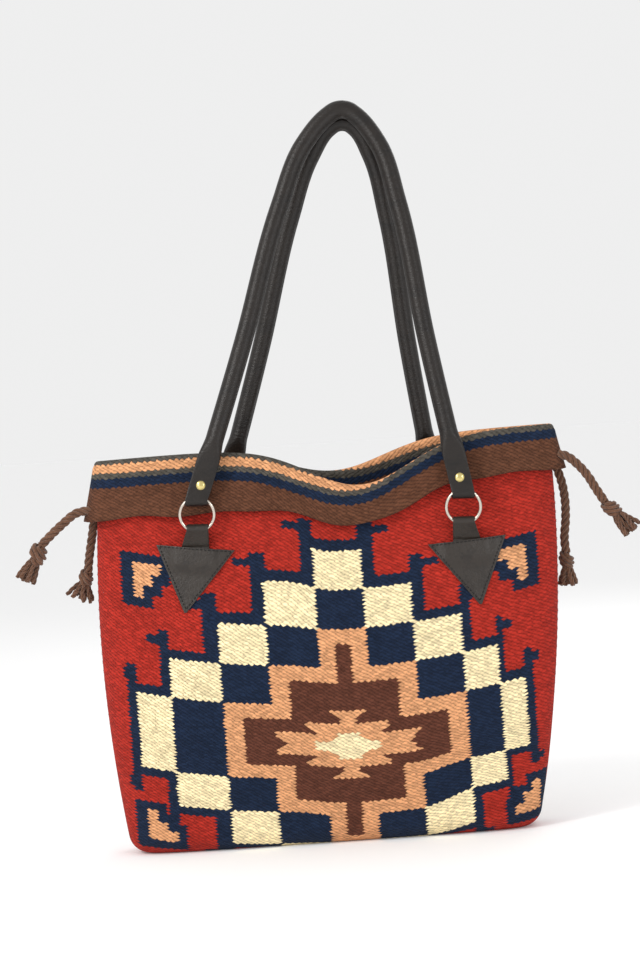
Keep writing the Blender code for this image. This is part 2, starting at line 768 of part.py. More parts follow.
def make_handle(side, pivot):
    """A cover with its bore, the core inside it and the two rivets."""
    name = f"{side}_handle"
    leather = solid(f"{name}_cover", *skin(placed(handle_cover_rows(side), side)), "leather", pivot)
    bore = placed(round_rows(side, ROLL_RADIUS - ROLL_LEATHER, (0.0, CORE_SHORT)), side)
    cut(leather, solid(f"{name}_bore", *skin(bore), "core", pivot))
    core = placed(round_rows(side, ROLL_RADIUS - ROLL_LEATHER - GAP, (CORE_SHORT,)), side)
    solid(f"{name}_core", *skin(core), "core", pivot)
    for end, sign in (("left", -1), ("right", 1)):
        cut(leather, make_slot(side, end, sign, pivot))
        frame = rivet_frame(side, sign)
        rivet = placed(framed(turned(rivet_profile(), RIVET_SIDES), frame), side)
        solid(f"{side}_rivet_{end}", *skin(rivet), "brass", pivot)
        hole = ((RIVET_SHANK / 2 + GAP, STRAP_STACK), (RIVET_SHANK / 2 + GAP, -STRAP_STACK))
        hole = placed(framed(turned(hole, RIVET_SIDES), frame), side)
        cut(leather, solid(f"{side}_rivet_hole_{end}", *skin(hole), "brass", pivot))


def make_slot(side, end, sign, pivot):
    """The cutter for the open end of the seam, on the inside of the arch."""
    line = handle_line(side)
    whole = length_of(line)
    spot = FLATTEN_TO + SLOT_LENGTH
    spot = spot if sign < 0 else whole - spot
    middle, across, thick = (part[0] for part in on_line(line, np.array([spot])))
    tangent = np.cross(across, thick)
    near = ROLL_RADIUS - 2 * ROLL_LEATHER
    far = ROLL_RADIUS + ROLL_LEATHER
    rows = []
    for along in (-SLOT_LENGTH / 2, SLOT_LENGTH / 2):
        corners = [(reach, wall * SLOT_WIDTH / 2) for reach, wall in ((near, -1), (far, -1), (far, 1), (near, 1))]
        rows.append([middle + tangent * along + across * w + thick * n for w, n in corners])
    return solid(f"{side}_seam_slot_{end}", *skin(placed(rows, side)), "core", pivot)


def make_side(side):
    """One handle and everything that carries it."""
    for end, sign in (("left", -1), ("right", 1)):
        u = sign * SPAN[side] / 2
        pivot = empty(f"{side}_ring_{end}_hinge", placed((u, TAB_OUT, TAB_UP), side))
        solid(f"{side}_ring_{end}", *skin(placed(ring_rows(u), side), closed=True), "nickel", pivot)
        thicken(solid(f"{side}_tab_{end}", *grid(tab_rows(side, sign)), "leather"), TAB_LEATHER)
        patch = solid(f"{side}_patch_{end}", *grid(patch_rows(side, sign)), "leather")
        thicken(patch, PATCH_LEATHER)
    hinge = placed((-SPAN[side] / 2, STRAP_OUT, STRAP_UP), side)
    make_handle(side, empty(f"{side}_handle_hinge", hinge))


def make_cord(corner):
    """A plied cord as a round tube along its route."""
    route = smooth_curve(CORD_ROUTES[corner], 12)
    steps = max(3, round(length_of(route) / (2 * CORD)))
    points = evenly(route, np.linspace(0.0, length_of(route), steps + 1))
    curve = bpy.data.curves.new(f"{corner}_cord", "CURVE")
    curve.dimensions = "3D"
    curve.bevel_depth = CORD / 2 * MM
    curve.bevel_resolution = 2
    curve.use_fill_caps = True
    spline = curve.splines.new("POLY")
    spline.points.add(len(points) - 1)
    for spot, point in zip(spline.points, points):
        spot.co = (*(point * MM), 1.0)
    curve.materials.append(material("yarn"))
    bpy.context.scene.collection.objects.link(bpy.data.objects.new(f"{corner}_cord", curve))


def make_tassel(corner):
    """The knot at a cord's end and the strands below it, as one fluted solid."""
    route = smooth_curve(CORD_ROUTES[corner], 12)
    heading = unit(route[-1] - route[-2])
    start = route[-1] + heading * GAP
    end = np.array(TASSEL_ENDS[corner])
    knot = KNOT_WIDTH[corner] / 2
    loose = TASSEL_WIDTH[corner] / 2
    profile = (
        (0.0, CORD * 0.42, 0.0),
        (0.1, knot * 0.8, 0.0),
        (0.24, knot, 0.0),
        (0.38, knot * 0.85, 0.0),
        (0.46, knot * 0.62, 0.5),
        (0.62, (knot + loose) * 0.45, 1.0),
        (0.82, loose * 0.92, 1.0),
        (1.0, loose, 1.0),
    )
    sides = TASSEL_STRANDS * 4
    angle = np.arange(sides) * 2 * math.pi / sides
    flute = np.cos(TASSEL_STRANDS * angle)
    rows = []
    for share, radius, fluted in profile:
        middle = start + (end - start) * share
        axis = unit(heading + (unit(end - start) - heading) * min(1.0, share * 2.5))
        beside = unit(np.cross(axis, (0.0, 1.0, 0.0)))
        other = np.cross(axis, beside)
        reach = (radius * (1 - STRAND_DEPTH * fluted * (1 - flute)))[:, None]
        rows.append(middle + reach * (np.cos(angle)[:, None] * beside + np.sin(angle)[:, None] * other))
    solid(f"{corner}_tassel", *skin(rows), "yarn")


def main():
    for old in list(bpy.data.objects):
        bpy.data.objects.remove(old, do_unlink=True)
    make_sheet()
    for side in SPAN:
        make_side(side)
    for corner in CORD_ROUTES:
        make_cord(corner)
        make_tassel(corner)


main()
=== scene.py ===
"""A hand-woven wool tote bag with rolled leather handles, finished for close views.

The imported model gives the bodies, their places and their joints. Here its cloth,
leather, rings, rivets, cords and tassels are made again as fine surfaces with
their weave, grain, stitches and plies. Lengths are in millimetres until a mesh
is made. The front faces -Y, +X is on the right and +Z is up.
"""

import json
import math

import bmesh
import bpy
import numpy as np
from bpy.props import FloatProperty, FloatVectorProperty, IntProperty
from mathutils import Matrix, Vector


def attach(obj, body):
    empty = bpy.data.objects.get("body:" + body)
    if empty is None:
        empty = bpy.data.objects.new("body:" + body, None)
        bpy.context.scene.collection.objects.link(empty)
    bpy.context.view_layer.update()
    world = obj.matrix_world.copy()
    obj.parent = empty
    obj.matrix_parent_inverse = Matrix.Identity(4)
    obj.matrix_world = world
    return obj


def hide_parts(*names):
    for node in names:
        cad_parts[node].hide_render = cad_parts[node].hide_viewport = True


bl_info = {
    "name": "Woven Tote Bag",
    "version": (1, 0, 0),
    "blender": (4, 5, 0),
    "location": "View3D > Sidebar > Tote Bag",
    "description": "Makes the cloth, leather, metal and cords of a hand-woven tote bag",
    "category": "Add Mesh",
}

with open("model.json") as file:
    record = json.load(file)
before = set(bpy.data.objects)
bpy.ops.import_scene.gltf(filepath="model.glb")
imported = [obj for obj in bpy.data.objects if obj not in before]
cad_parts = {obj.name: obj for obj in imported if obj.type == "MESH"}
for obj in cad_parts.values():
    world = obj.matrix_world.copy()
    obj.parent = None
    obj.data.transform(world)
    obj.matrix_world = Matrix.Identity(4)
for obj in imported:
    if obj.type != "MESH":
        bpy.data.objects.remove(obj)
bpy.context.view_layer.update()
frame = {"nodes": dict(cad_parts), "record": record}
HINGES = {joint["name"]: np.array(joint["pos_m"]) * 1000 for joint in frame["record"]["behaviour"]["joints"]}

MM = 0.001
GAP = 0.3
SIDES = ("front", "back")
ENDS = (("left", -1), ("right", 1))

# The woven sheet
CLOTH = 3.5
HEIGHT = 376.5
FOLD_RISE = 6.0
LEAN = 14.0
BASE_MIDDLE_X = -11.8
HALF_WIDTH = (189.5, 213.5, 210.0)  # at the base, half-way up and at the mouth
HALF_DEPTH = (38.0, 40.0, 27.0)
SQUARENESS = (5.0, 2.6, 2.0)
BASE_EDGE_RADIUS = 17.0
DIP_DEPTH = {"front": 42.0, "back": 28.0}
DIP_X = {"front": 34.0, "back": 10.0}
DIP_WIDTH = 68.0
CUFF_LEFT = 56.0
CUFF_RIGHT = 42.0
CUFF_DIP = 8.0
CUFF_STEP_X = -15.0
CUFF_STEP_WIDTH = 200.0
CUFF_GAP = 2.0
CUFF_FLARE = 3.0
CORNER_FLARE = 5.5
WALL_SHORT = 3.5  # how far below the fold's first row the wall's last one stops
CUFF_START = 2.5  # how far below the fold's last row the cuff's first one lies

# The rings, tabs and patches
RING_RADIUS = 16.0
RING_WIRE = 3.0
RING_LEAN = math.radians(8.0)
RING_LINE_X = 4.0
RING_LINE_Z = 313.0
RING_LINE_TILT = math.radians(-2.3)
SPAN = {"front": 248.8, "back": 205.0}
TAB_LEATHER = 1.2
TAB_WIDTH = 26.0
TAB_LOOP_WIDTH = 20.0
TAB_TUCK = 10.0
LAYER_GAP = 0.4
PATCH_LEATHER = 1.5
PATCH_WIDTH = 74.0
PATCH_HEIGHT = 61.5
PATCH_TIP = 2.0
PATCH_DROP = 31.5
PATCH_SHIFT = 3.0
PATCH_SKEW = 5.5
PATCH_TURN = math.radians(5.3)
PATCH_COVER = 4.0
PATCH_EASE = 14.0

# The rolled handles and their rivets
ROLL_RADIUS = 8.5
STRAP_LEATHER = 2.0
STRAP_WIDTH = 21.0
FLATTENED_EXTRA = 2.0
FLAP_LENGTH = 22.0
STRAP_CLOSED = 9.5
RIVET_UP = 14.0
FLATTEN_FROM = 24.0
FLATTEN_TO = 60.0
APEX_HEIGHT = {"front": 377.0, "back": 367.0}
APEX_SHIFT = 22.0
BOW = 1.35
ARCH = ((1.0, 0.0), (0.908, 0.116), (0.688, 0.402), (0.447, 0.752), (0.283, 0.909))
APEX_RADIUS = 17.0
APEX_CROWDING = 1.7
RIVET_SHANK = 2.8
RIVET_HEAD = 8.4
RIVET_DOME = 1.5
RIVET_TAIL = 6.8
RIVET_TAIL_HEIGHT = 0.9

# The cords and their tassels
CORD = 8.0
PLY_FULLNESS = 1.1  # the plies reach this much further out, because their hollows make a cord look thin
CORD_ROUTES = {
    "front_left": (
        (-222.2, -9.0, 328.0),
        (-235.5, -11.5, 326.0),
        (-250.0, -15.0, 316.0),
        (-263.5, -17.5, 304.5),
        (-270.5, -18.5, 298.0),
    ),
    "back_left": (
        (-221.5, 9.0, 317.3),
        (-224.0, 10.5, 304.0),
        (-226.6, 11.5, 292.0),
        (-229.0, 12.0, 280.0),
        (-231.0, 12.5, 267.5),
    ),
    "front_right": (
        (222.8, -9.0, 350.5),
        (231.0, -11.0, 347.5),
        (239.5, -13.5, 340.0),
        (248.5, -15.5, 328.5),
        (255.8, -17.0, 315.0),
        (263.0, -18.0, 302.5),
    ),
    "back_right": (
        (222.0, 9.0, 337.4),
        (226.5, 10.5, 321.0),
        (228.3, 11.5, 304.0),
        (227.5, 12.0, 286.0),
        (225.3, 12.0, 268.0),
        (226.0, 12.0, 255.0),
    ),
}
TASSEL_ENDS = {
    "front_left": (-287.5, -22.0, 265.0),
    "back_left": (-240.5, 15.0, 243.0),
    "front_right": (288.5, -22.0, 272.5),
    "back_right": (226.5, 13.0, 223.0),
}
KNOT_WIDTH = {"front_left": 16.0, "back_left": 13.0, "front_right": 14.0, "back_right": 13.0}
TASSEL_WIDTH = {"front_left": 20.0, "back_left": 27.0, "front_right": 24.0, "back_right": 21.0}

# Where the woven figure lies on the front
FIGURE_X = 7.0
FIGURE_Z = 91.0
STRIPES_FROM_FOLD = 42.0  # below this the cloth carries the figure, above it the stripes
STRIPE_SHEET = 1000.0  # added to a stripe's place, to tell it from the figure's
ROWS_ABOVE = 0.98  # the drawn height of the rows above the figure's middle, over the woven one
ROWS_BELOW = 1.12
SQUARE = (45.0, 36.0)  # one square of the figure, across and up

# The stage: its floor in millimetres, and its places in metres
FLOOR_RADIUS = 30000.0
SENSOR = 36.0  # the height of the camera's sensor, in millimetres
VIEW_HEIGHT = 0.912  # how much of the bag's middle plane the frame shows
VIEW_MIDDLE = (-0.0036, 0.0, 0.341)
LAMPS_AIM = (0.0, 0.0, 0.3)
WHITE = (1.0, 1.0, 1.0, 1.0)

# What follows from the sizes
RING_OUTER = {
    "strap": RING_RADIUS - math.sqrt(RING_RADIUS**2 - (STRAP_WIDTH / 2) ** 2),
    "tab": RING_RADIUS - math.sqrt(RING_RADIUS**2 - (TAB_LOOP_WIDTH / 2) ** 2),
}
LOOP = {
    name: rise / 2 + RING_WIRE / 2 * RING_RADIUS / (RING_RADIUS - rise) + GAP for name, rise in RING_OUTER.items()
}
STRAP_HINGE = RING_RADIUS - RING_OUTER["strap"] / 2
TAB_HINGE = RING_RADIUS - RING_OUTER["tab"] / 2
STRAP_OUT = -HINGES["front_handle_fold"][1]
STRAP_UP = STRAP_HINGE * math.cos(RING_LEAN)
RING_OUT = STRAP_OUT - STRAP_HINGE * math.sin(RING_LEAN)
TAB_OUT = -HINGES["front_ring_left_swing"][1]
TAB_UP = -TAB_HINGE * math.cos(RING_LEAN)
TAB_STACK = 2 * TAB_LEATHER + LAYER_GAP
STRAP_STACK = 2 * STRAP_LEATHER + LAYER_GAP


def linear(code):
    """The linear red, green, blue and alpha of an sRGB hex colour."""
    value = np.array([int(code[k : k + 2], 16) for k in (1, 3, 5)]) / 255
    value = np.where(value <= 0.04045, value / 12.92, ((value + 0.055) / 1.055) ** 2.4)
    return (*value.tolist(), 1.0)


def smooth_step(share):
    """3 t^2 - 2 t^3 of a share held between 0 and 1."""
    share = np.clip(share, 0.0, 1.0)
    return share * share * (3 - 2 * share)


def smooth_curve(points, steps):
    """Cubic stretches through the points, each with the slope of the parabola through three."""
    points = np.array(points, float)
    padded = np.vstack([2 * points[0] - points[1], points, 2 * points[-1] - points[-2]])
    chords = np.linalg.norm(np.diff(padded, axis=0), axis=1)[:, None]
    rates = np.diff(padded, axis=0) / chords
    heads = (rates[:-1] * chords[1:] + rates[1:] * chords[:-1]) / (chords[1:] + chords[:-1])
    t = (np.arange(steps) / steps)[:, None]
    stretches = []
    for start, end, leave, arrive, chord in zip(points, points[1:], heads, heads[1:], chords[1:]):
        bend = (2 * t**3 - 3 * t**2 + 1) * start + (3 * t**2 - 2 * t**3) * end
        stretches.append(bend + chord * ((t**3 - 2 * t**2 + t) * leave + (t**3 - t**2) * arrive))
    return np.vstack([*stretches, points[-1:]])


def distances(curve):
    """The distance along a curve to each of its points."""
    return np.concatenate([[0.0], np.cumsum(np.linalg.norm(np.diff(curve, axis=0), axis=1))])


def evenly(curve, spots):
    """The curve's points at these distances along it."""
    run = distances(curve)
    return np.stack([np.interp(spots, run, part) for part in curve.T], axis=1)


def unit(vectors):
    return vectors / np.linalg.norm(vectors, axis=-1, keepdims=True)


def through(level, values):
    """The parabola with these values at the base, half-way up and at the mouth."""
    base, waist, mouth = values
    at_base = base * (2 * level - 1) * (level - 1)
    at_waist = waist * 4 * level * (1 - level)
    return at_base + at_waist + mouth * level * (2 * level - 1)


def angle_table():
    """The superellipse's angle at each share of a quarter's length, for levels from 0 to 1."""
    level = np.linspace(0.0, 1.0, 201)[:, None]
    angle = np.linspace(0.0, math.pi / 2, 721)
    power = 2 / through(level, SQUARENESS)
    x = through(level, HALF_WIDTH) * np.cos(angle) ** power
    y = through(level, HALF_DEPTH) * np.sin(angle) ** power
    run = np.cumsum(np.hypot(np.diff(x, axis=1), np.diff(y, axis=1)), axis=1)
    run = np.hstack([np.zeros((len(level), 1)), run])
    shares = np.linspace(0.0, 1.0, 401)
    return np.stack([np.interp(shares * row[-1], row, angle) for row in run])


ANGLES = angle_table()


def cloth_section(turn, level):
    """The inner face's x and y, its outward normal and where it is the front.

    turn runs from 0 at the right seam by the back, 2 at the left seam and the
    front to 4. Each quarter is x = a cos(t)^(2/n), y = b sin(t)^(2/n), divided
    evenly along its length.
    """
    turn, level = np.broadcast_arrays(np.asarray(turn, float), np.asarray(level, float))
    quarter = np.floor(turn).astype(int) % 4
    along = turn - np.floor(turn)
    along = np.where(quarter % 2, 1 - along, along)
    up, over = np.clip(level, 0.0, 1.0) * 200, along * 400
    row = np.minimum(up.astype(int), 199)
    column = np.minimum(over.astype(int), 399)
    up, over = up - row, over - column
    low = ANGLES[row, column] * (1 - over) + ANGLES[row, column + 1] * over
    high = ANGLES[row + 1, column] * (1 - over) + ANGLES[row + 1, column + 1] * over
    angle = np.clip(low * (1 - up) + high * up, 0.0, math.pi / 2)
    a, b, n = (through(level, values) for values in (HALF_WIDTH, HALF_DEPTH, SQUARENESS))
    x, y = a * np.cos(angle) ** (2 / n), b * np.sin(angle) ** (2 / n)
    normal = unit(np.stack([(x / a) ** (n - 1) / a, (y / b) ** (n - 1) / b], axis=-1))
    east = np.where((quarter == 0) | (quarter == 3), 1, -1)
    north = np.where(quarter < 2, 1, -1)
    middle = BASE_MIDDLE_X + LEAN * level
    return east * x + middle, north * y, east * normal[..., 0], north * normal[..., 1], quarter > 1


def dip(x, front):
    """exp of minus ((x - place) / width)^2, the fold's sag as a share of its deepest."""
    place = np.where(front, DIP_X["front"], DIP_X["back"])
    return np.exp(-(((x - place) / DIP_WIDTH) ** 2))


def fold_height(x, front):
    depth = np.where(front, DIP_DEPTH["front"], DIP_DEPTH["back"])
    return HEIGHT + FOLD_RISE * x / (2 * HALF_WIDTH[2]) - depth * dip(x, front)


def cuff_width(x, front):
    step = smooth_step((x - CUFF_STEP_X) / CUFF_STEP_WIDTH + 0.5)
    return CUFF_LEFT + (CUFF_RIGHT - CUFF_LEFT) * step - CUFF_DIP * dip(x, front)


def slack(x, z, front):
    """How far the cloth stands out or in: long shallow waves, none near the patches."""
    phase = np.where(front, 0.0, 1.9)
    waves = 1.1 * np.sin(x / 47 + z / 90 + phase) + 0.8 * np.sin(x / 29 - z / 61 + 2.1 + 2 * phase)
    waves += 0.5 * np.sin(x / 17 + z / 33 + 0.7 + phase)
    span = np.where(front, SPAN["front"], SPAN["back"])
    beside = np.abs(np.abs(x - RING_LINE_X) - span / 2 - 2)
    near = (1 - smooth_step((beside - 42) / 22)) * smooth_step((z - 195) / 22)
    calm = smooth_step(z / 26) * (1 - smooth_step((z - 296) / 20)) * (1 - near)
    return waves * calm * smooth_step((212 - np.abs(x)) / 40)


def cloth_point(turn, level, stand_off, drop=0.0):
    """The place outside the inner face by stand_off, and lower than its level by drop."""
    x, y, across, through_cloth, front = cloth_section(turn, level)
    z = level * fold_height(x, front) - drop
    out = stand_off + slack(x, z, front)
    return np.stack([x + across * out, y + through_cloth * out, z + 0 * out], axis=-1)


def cuff_point(turn, share):
    """The cuff's middle surface, that share of its width below the fold.

    Its edge is wavy, and its corners by the side seams stand out by CORNER_FLARE times the share.
    """
    x, _, _, _, front = cloth_section(turn, 1.0)
    wavy = 1.2 * np.sin(x / 11 + 1.0) + 0.9 * np.sin(x / 23)
    level = 1 - (share * cuff_width(x, front) + wavy * share**3) / fold_height(x, front)
    corner = CORNER_FLARE * share * smooth_step((np.abs(x - 2) - 192) / 24)
    flare = corner + CUFF_FLARE * share**2 + 0.8 * share * np.sin(x / 31 + 0.6) * smooth_step((190 - np.abs(x)) / 60)
    return cloth_point(turn, level, CLOTH * 1.5 + CUFF_GAP + np.maximum(flare, 0.0))


def base_point(turn, angle):
    """The round edge at the base, from 0 at the ground to a right angle."""
    radius = BASE_EDGE_RADIUS - CLOTH / 2
    height = CLOTH / 2 + radius * (1 - np.cos(angle))
    inset = radius * (1 - np.sin(angle))
    level = height / HEIGHT
    x, y, _ = np.moveaxis(cloth_point(turn, level, CLOTH / 2), -1, 0)
    middle = BASE_MIDDLE_X + LEAN * level
    x = middle + (x - middle) * (1 - inset / (through(level, HALF_WIDTH) + CLOTH / 2))
    y = y * (1 - inset / (through(level, HALF_DEPTH) + CLOTH / 2))
    return np.stack([x, y, height + 0 * x], axis=-1)


def panel_reach(x, z, side, stand_off):
    """How far from the bag's middle plane a layer of its panel lies at x and z."""
    level = np.clip(z / fold_height(x, side == "front"), 0.0, 1.0)
    a, b, n = (through(level, values) for values in (HALF_WIDTH, HALF_DEPTH, SQUARENESS))
    share = np.clip(np.abs(x - BASE_MIDDLE_X - LEAN * level) / a, 0.0, 0.98)
    depth = b * (1 - share**n) ** (1 / n)
    slope = b / a * share ** (n - 1) * (1 - share**n) ** (1 / n - 1)
    return depth + stand_off * np.sqrt(1 + slope**2)


def on_ring_line(u, up):
    x = RING_LINE_X + u * math.cos(RING_LINE_TILT) - up * math.sin(RING_LINE_TILT)
    z = RING_LINE_Z + u * math.sin(RING_LINE_TILT) + up * math.cos(RING_LINE_TILT)
    return x, z


def placed(points, side):
    """World places of points given as u, out and up beside the ring line."""
    u, out, up = np.moveaxis(np.asarray(points, float), -1, 0)
    x, z = on_ring_line(u, up)
    return np.stack([x, -out if side == "front" else out, z], axis=-1)


def reach_at(u, up, side, stand_off):
    x, z = on_ring_line(u, up)
    return panel_reach(x, z, side, stand_off)


def handle_line(side):
    """The handle's middle line: its arch leans in as 1 - share^BOW of the way from the rings."""
    rise = APEX_HEIGHT[side] - STRAP_UP
    right = [(share * SPAN[side] / 2, height * rise) for share, height in ARCH]
    for angle in (math.pi / 4, math.pi / 8):
        right.append((APEX_RADIUS * math.sin(angle), rise - APEX_RADIUS * (1 - math.cos(angle))))
    left = [(-u, height) for u, height in right]
    curve = smooth_curve([*left, (0.0, rise), *reversed(right)], 12)
    u = curve[:, 0] + APEX_SHIFT * curve[:, 1] / rise
    at_apex = ROLL_RADIUS + GAP / 2
    out = at_apex + (STRAP_OUT - at_apex) * (1 - np.clip(curve[:, 1] / rise, 0.0, 1.0) ** BOW)
    return np.stack([u, out, STRAP_UP + curve[:, 1]], axis=1)


def on_line(line, spots):
    """Points at these distances along a line, and its inward and outward directions."""
    tangents = unit(evenly(line, spots + 0.5) - evenly(line, spots - 0.5))
    across = unit(np.stack([tangents[:, 2], np.zeros(len(tangents)), -tangents[:, 0]], axis=1))
    return evenly(line, spots), across, unit(np.cross(tangents, across))


def strap_end(side, sign):
    """The folded end of a strap, from its free end down, under the ring's wire and up."""
    line = handle_line(side)
    spots = np.linspace(FLAP_LENGTH, STRAP_CLOSED, 12)
    if sign > 0:
        spots = distances(line)[-1] - spots
    centres, across, thick = on_line(line, spots)
    centres = centres - thick * (STRAP_STACK - STRAP_LEATHER) / 2
    angles = np.linspace(math.pi, 2 * math.pi, 17)
    away = np.stack([0 * angles, np.cos(angles), np.sin(angles)], axis=1)
    hinge = np.array([sign * SPAN[side] / 2, STRAP_OUT, STRAP_UP])
    loop = hinge + (LOOP["strap"] + STRAP_LEATHER / 2) * away
    beside = np.array([[-sign, 0.0, 0.0]] * len(loop))
    return np.vstack([centres, loop]), np.vstack([across, beside]), np.vstack([-thick, away])


def handle_surface(side):
    """Rings of points along the strap and roll, from one folded end to the other.

    A ring is the superellipse |w/wide|^p + |n/thick|^p = 1. Where the leather is
    rolled up its seam is a groove, r = 1 - 0.16 exp(-(t / 0.1)^2) + 0.035
    exp(-((|t| - 0.24) / 0.1)^2), on the inside of the arch.
    """
    line = handle_line(side)
    whole = distances(line)[-1]
    closed = np.linspace(STRAP_CLOSED, FLATTEN_FROM, 10)[:-1]
    start = np.concatenate([closed, np.linspace(FLATTEN_FROM, FLATTEN_TO, 25)])
    share = np.linspace(-1.0, 1.0, 171)[1:-1]
    middle = whole / 2 + np.sign(share) * np.abs(share) ** APEX_CROWDING * (whole / 2 - FLATTEN_TO)
    spots = np.concatenate([start, middle, whole - start[::-1]])
    centres, across, thick = on_line(line, spots)
    from_end = np.minimum(spots, whole - spots)
    roundness = smooth_step((from_end - FLATTEN_FROM) / (FLATTEN_TO - FLATTEN_FROM))
    centres = centres + thick * ((1 - roundness) * (STRAP_STACK - STRAP_LEATHER) / 2)[:, None]
    left = strap_end(side, -1)
    right = [part[::-1] for part in strap_end(side, 1)]
    flat = np.zeros(len(left[0]))
    centres, across, thick = (np.vstack(parts) for parts in zip(left, (centres, across, thick), right))
    roundness = np.concatenate([flat, roundness, flat])[:, None]
    wide = STRAP_WIDTH / 2 + (ROLL_RADIUS - STRAP_WIDTH / 2) * roundness
    wide = wide + FLATTENED_EXTRA / 2 * 4 * roundness * (1 - roundness)
    deep = STRAP_LEATHER / 2 + (ROLL_RADIUS - STRAP_LEATHER / 2) * roundness
    power = 2 / (2 + 4 * (1 - roundness))
    even = np.linspace(-math.pi, math.pi, 65)[:-1]
    angle = even - 0.72 * np.sin(even) * roundness
    seam = 0.035 * np.exp(-(((np.abs(angle) - 0.24) / 0.1) ** 2)) - 0.16 * np.exp(-((angle / 0.1) ** 2))
    reach = 1 + seam * smooth_step(roundness * 1.6 - 0.4)
    cosine, sine = np.cos(angle), np.sin(angle)
    w = np.sign(cosine) * np.abs(cosine) ** power * wide * reach
    n = np.sign(sine) * np.abs(sine) ** power * deep * reach
    rows = centres[:, None] + w[..., None] * across[:, None] + n[..., None] * thick[:, None]
    return placed(rows, side)


def tab_surface(side, sign):
    """The tab's middle surface, from under the patch up, over the ring's wire and back."""
    hinge_u = sign * SPAN[side] / 2
    foot_u = hinge_u + sign * PATCH_SHIFT
    across = np.linspace(-0.5, 0.5, 11)
    radius = LOOP["tab"] + TAB_LEATHER / 2
    rows = []
    for layer, ups in ((0, np.linspace(-TAB_TUCK, 1.0, 10)), (1, np.linspace(1.0, -TAB_TUCK, 10))):
        up = (ups - PATCH_DROP)[:, None] + 0 * across
        u = foot_u + TAB_WIDTH * across + 0 * up
        depth = GAP + (TAB_STACK - TAB_LEATHER / 2 if layer else TAB_LEATHER / 2)
        rows.append(np.stack([u, reach_at(u, up, side, CLOTH) + depth, up], axis=-1))
    angle = np.linspace(math.pi, 0.0, 25)[:, None] + 0 * across
    u = hinge_u + TAB_LOOP_WIDTH * across + 0 * angle
    loop = np.stack([u, TAB_OUT + radius * np.cos(angle), TAB_UP + radius * np.sin(angle)], axis=-1)
    share = np.linspace(0.0, 1.0, 14)[1:-1, None, None]
    ease = share - np.sin(2 * math.pi * share) / (2 * math.pi) * 0.5
    rise = rows[0][-1] * (1 - ease) + loop[0] * ease
    fall = loop[-1] * (1 - ease) + rows[1][0] * ease
    return placed(np.vstack([rows[0], rise, loop, fall, rows[1]]), side)


def patch_point(side, sign, across, down, raised=0.0):
    """The patch's middle surface: across in millimetres from its own middle, down from 0 to 1."""
    outward = np.array([sign * math.cos(PATCH_TURN), math.sin(PATCH_TURN)])
    downward = np.array([sign * math.sin(PATCH_TURN), -math.cos(PATCH_TURN)])
    foot_u = sign * (SPAN[side] / 2 + PATCH_SHIFT)
    shift = (across + PATCH_SKEW * down)[..., None] * outward
    spots = np.array([foot_u, -PATCH_DROP]) + shift + (down * PATCH_HEIGHT)[..., None] * downward
    beside = np.abs(spots[..., 0] - foot_u) - TAB_WIDTH / 2 - PATCH_COVER
    below = down * PATCH_HEIGHT - TAB_TUCK - PATCH_COVER
    over_tab = (1 - smooth_step(beside / PATCH_EASE)) * (1 - smooth_step(below / PATCH_EASE))
    out = reach_at(spots[..., 0], spots[..., 1], side, CLOTH) + GAP + PATCH_LEATHER / 2 + raised
    return placed(np.stack([spots[..., 0], out + over_tab * (TAB_STACK + GAP), spots[..., 1]], axis=-1), side)


def make_mesh(name, vertices, faces, uv=None):
    """A named smooth object from millimetre points and faces, with a UV map in metres."""
    mesh = bpy.data.meshes.new(name)
    mesh.from_pydata((np.asarray(vertices) * MM).tolist(), [], [list(face) for face in faces])
    if uv is not None:
        layer = mesh.uv_layers.new(name="cloth")
        layer.data.foreach_set("uv", (np.asarray(uv, float) * MM).ravel())
    made = bpy.data.objects.new(name, mesh)
    bpy.context.scene.collection.objects.link(made)
    mesh.shade_smooth()
    return made


def grid_faces(count, wide, around=False, along=False):
    """Corners of the faces between rows of points, wrapped round where asked."""
    row = np.arange(count if along else count - 1)[:, None]
    column = np.arange(wide if around else wide - 1)
    here = row * wide + column
    beside = row * wide + (column + 1) % wide
    ahead = (row + 1) % count * wide
    return np.stack([here, beside, ahead + (column + 1) % wide, ahead + column], axis=-1).reshape(-1, 4)


def corner_places(flat):
    """The flat place of each corner of the faces between rows of points."""
    return np.stack([flat[:-1, :-1], flat[:-1, 1:], flat[1:, 1:], flat[1:, :-1]], axis=2)

def tube_mesh(rows, closed=False):
    """Vertices and faces of a tube from rings of points, its ends joined or drawn in to a point."""
    rows = np.asarray(rows)
    count, sides = rows.shape[:2]
    faces = grid_faces(count, sides, around=True, along=closed).tolist()
    vertices = rows.reshape(-1, 3)
    if not closed:
        ends = np.stack([rows[0].mean(axis=0), rows[-1].mean(axis=0)])
        vertices = np.vstack([vertices, ends])
        first, last = count * sides, count * sides + 1
        k = np.arange(sides)
        beside = (k + 1) % sides
        faces += np.stack([np.full(sides, first), beside, k], axis=1).tolist()
        foot = (count - 1) * sides
        faces += np.stack([np.full(sides, last), foot + k, foot + beside], axis=1).tolist()
    return vertices, faces


def joined(parts):
    """Several meshes' vertices and faces as one."""
    vertices, faces, count = [], [], 0
    for points, corners in parts:
        vertices.append(points)
        faces += [[corner + count for corner in face] for face in corners]
        count += len(points)
    return np.vstack(vertices), faces


def face_outward(made, side=None):
    """Turn every shell's faces outward, or an open sheet's faces to the outside of its side."""
    work = bmesh.new()
    work.from_mesh(made.data)
    bmesh.ops.recalc_face_normals(work, faces=work.faces)
    if side:
        middle = sum((face.normal * face.calc_area() for face in work.faces), Vector())
        if (middle.y > 0) == (side == "front"):
            bmesh.ops.reverse_faces(work, faces=work.faces)
    work.to_mesh(made.data)
    work.free()

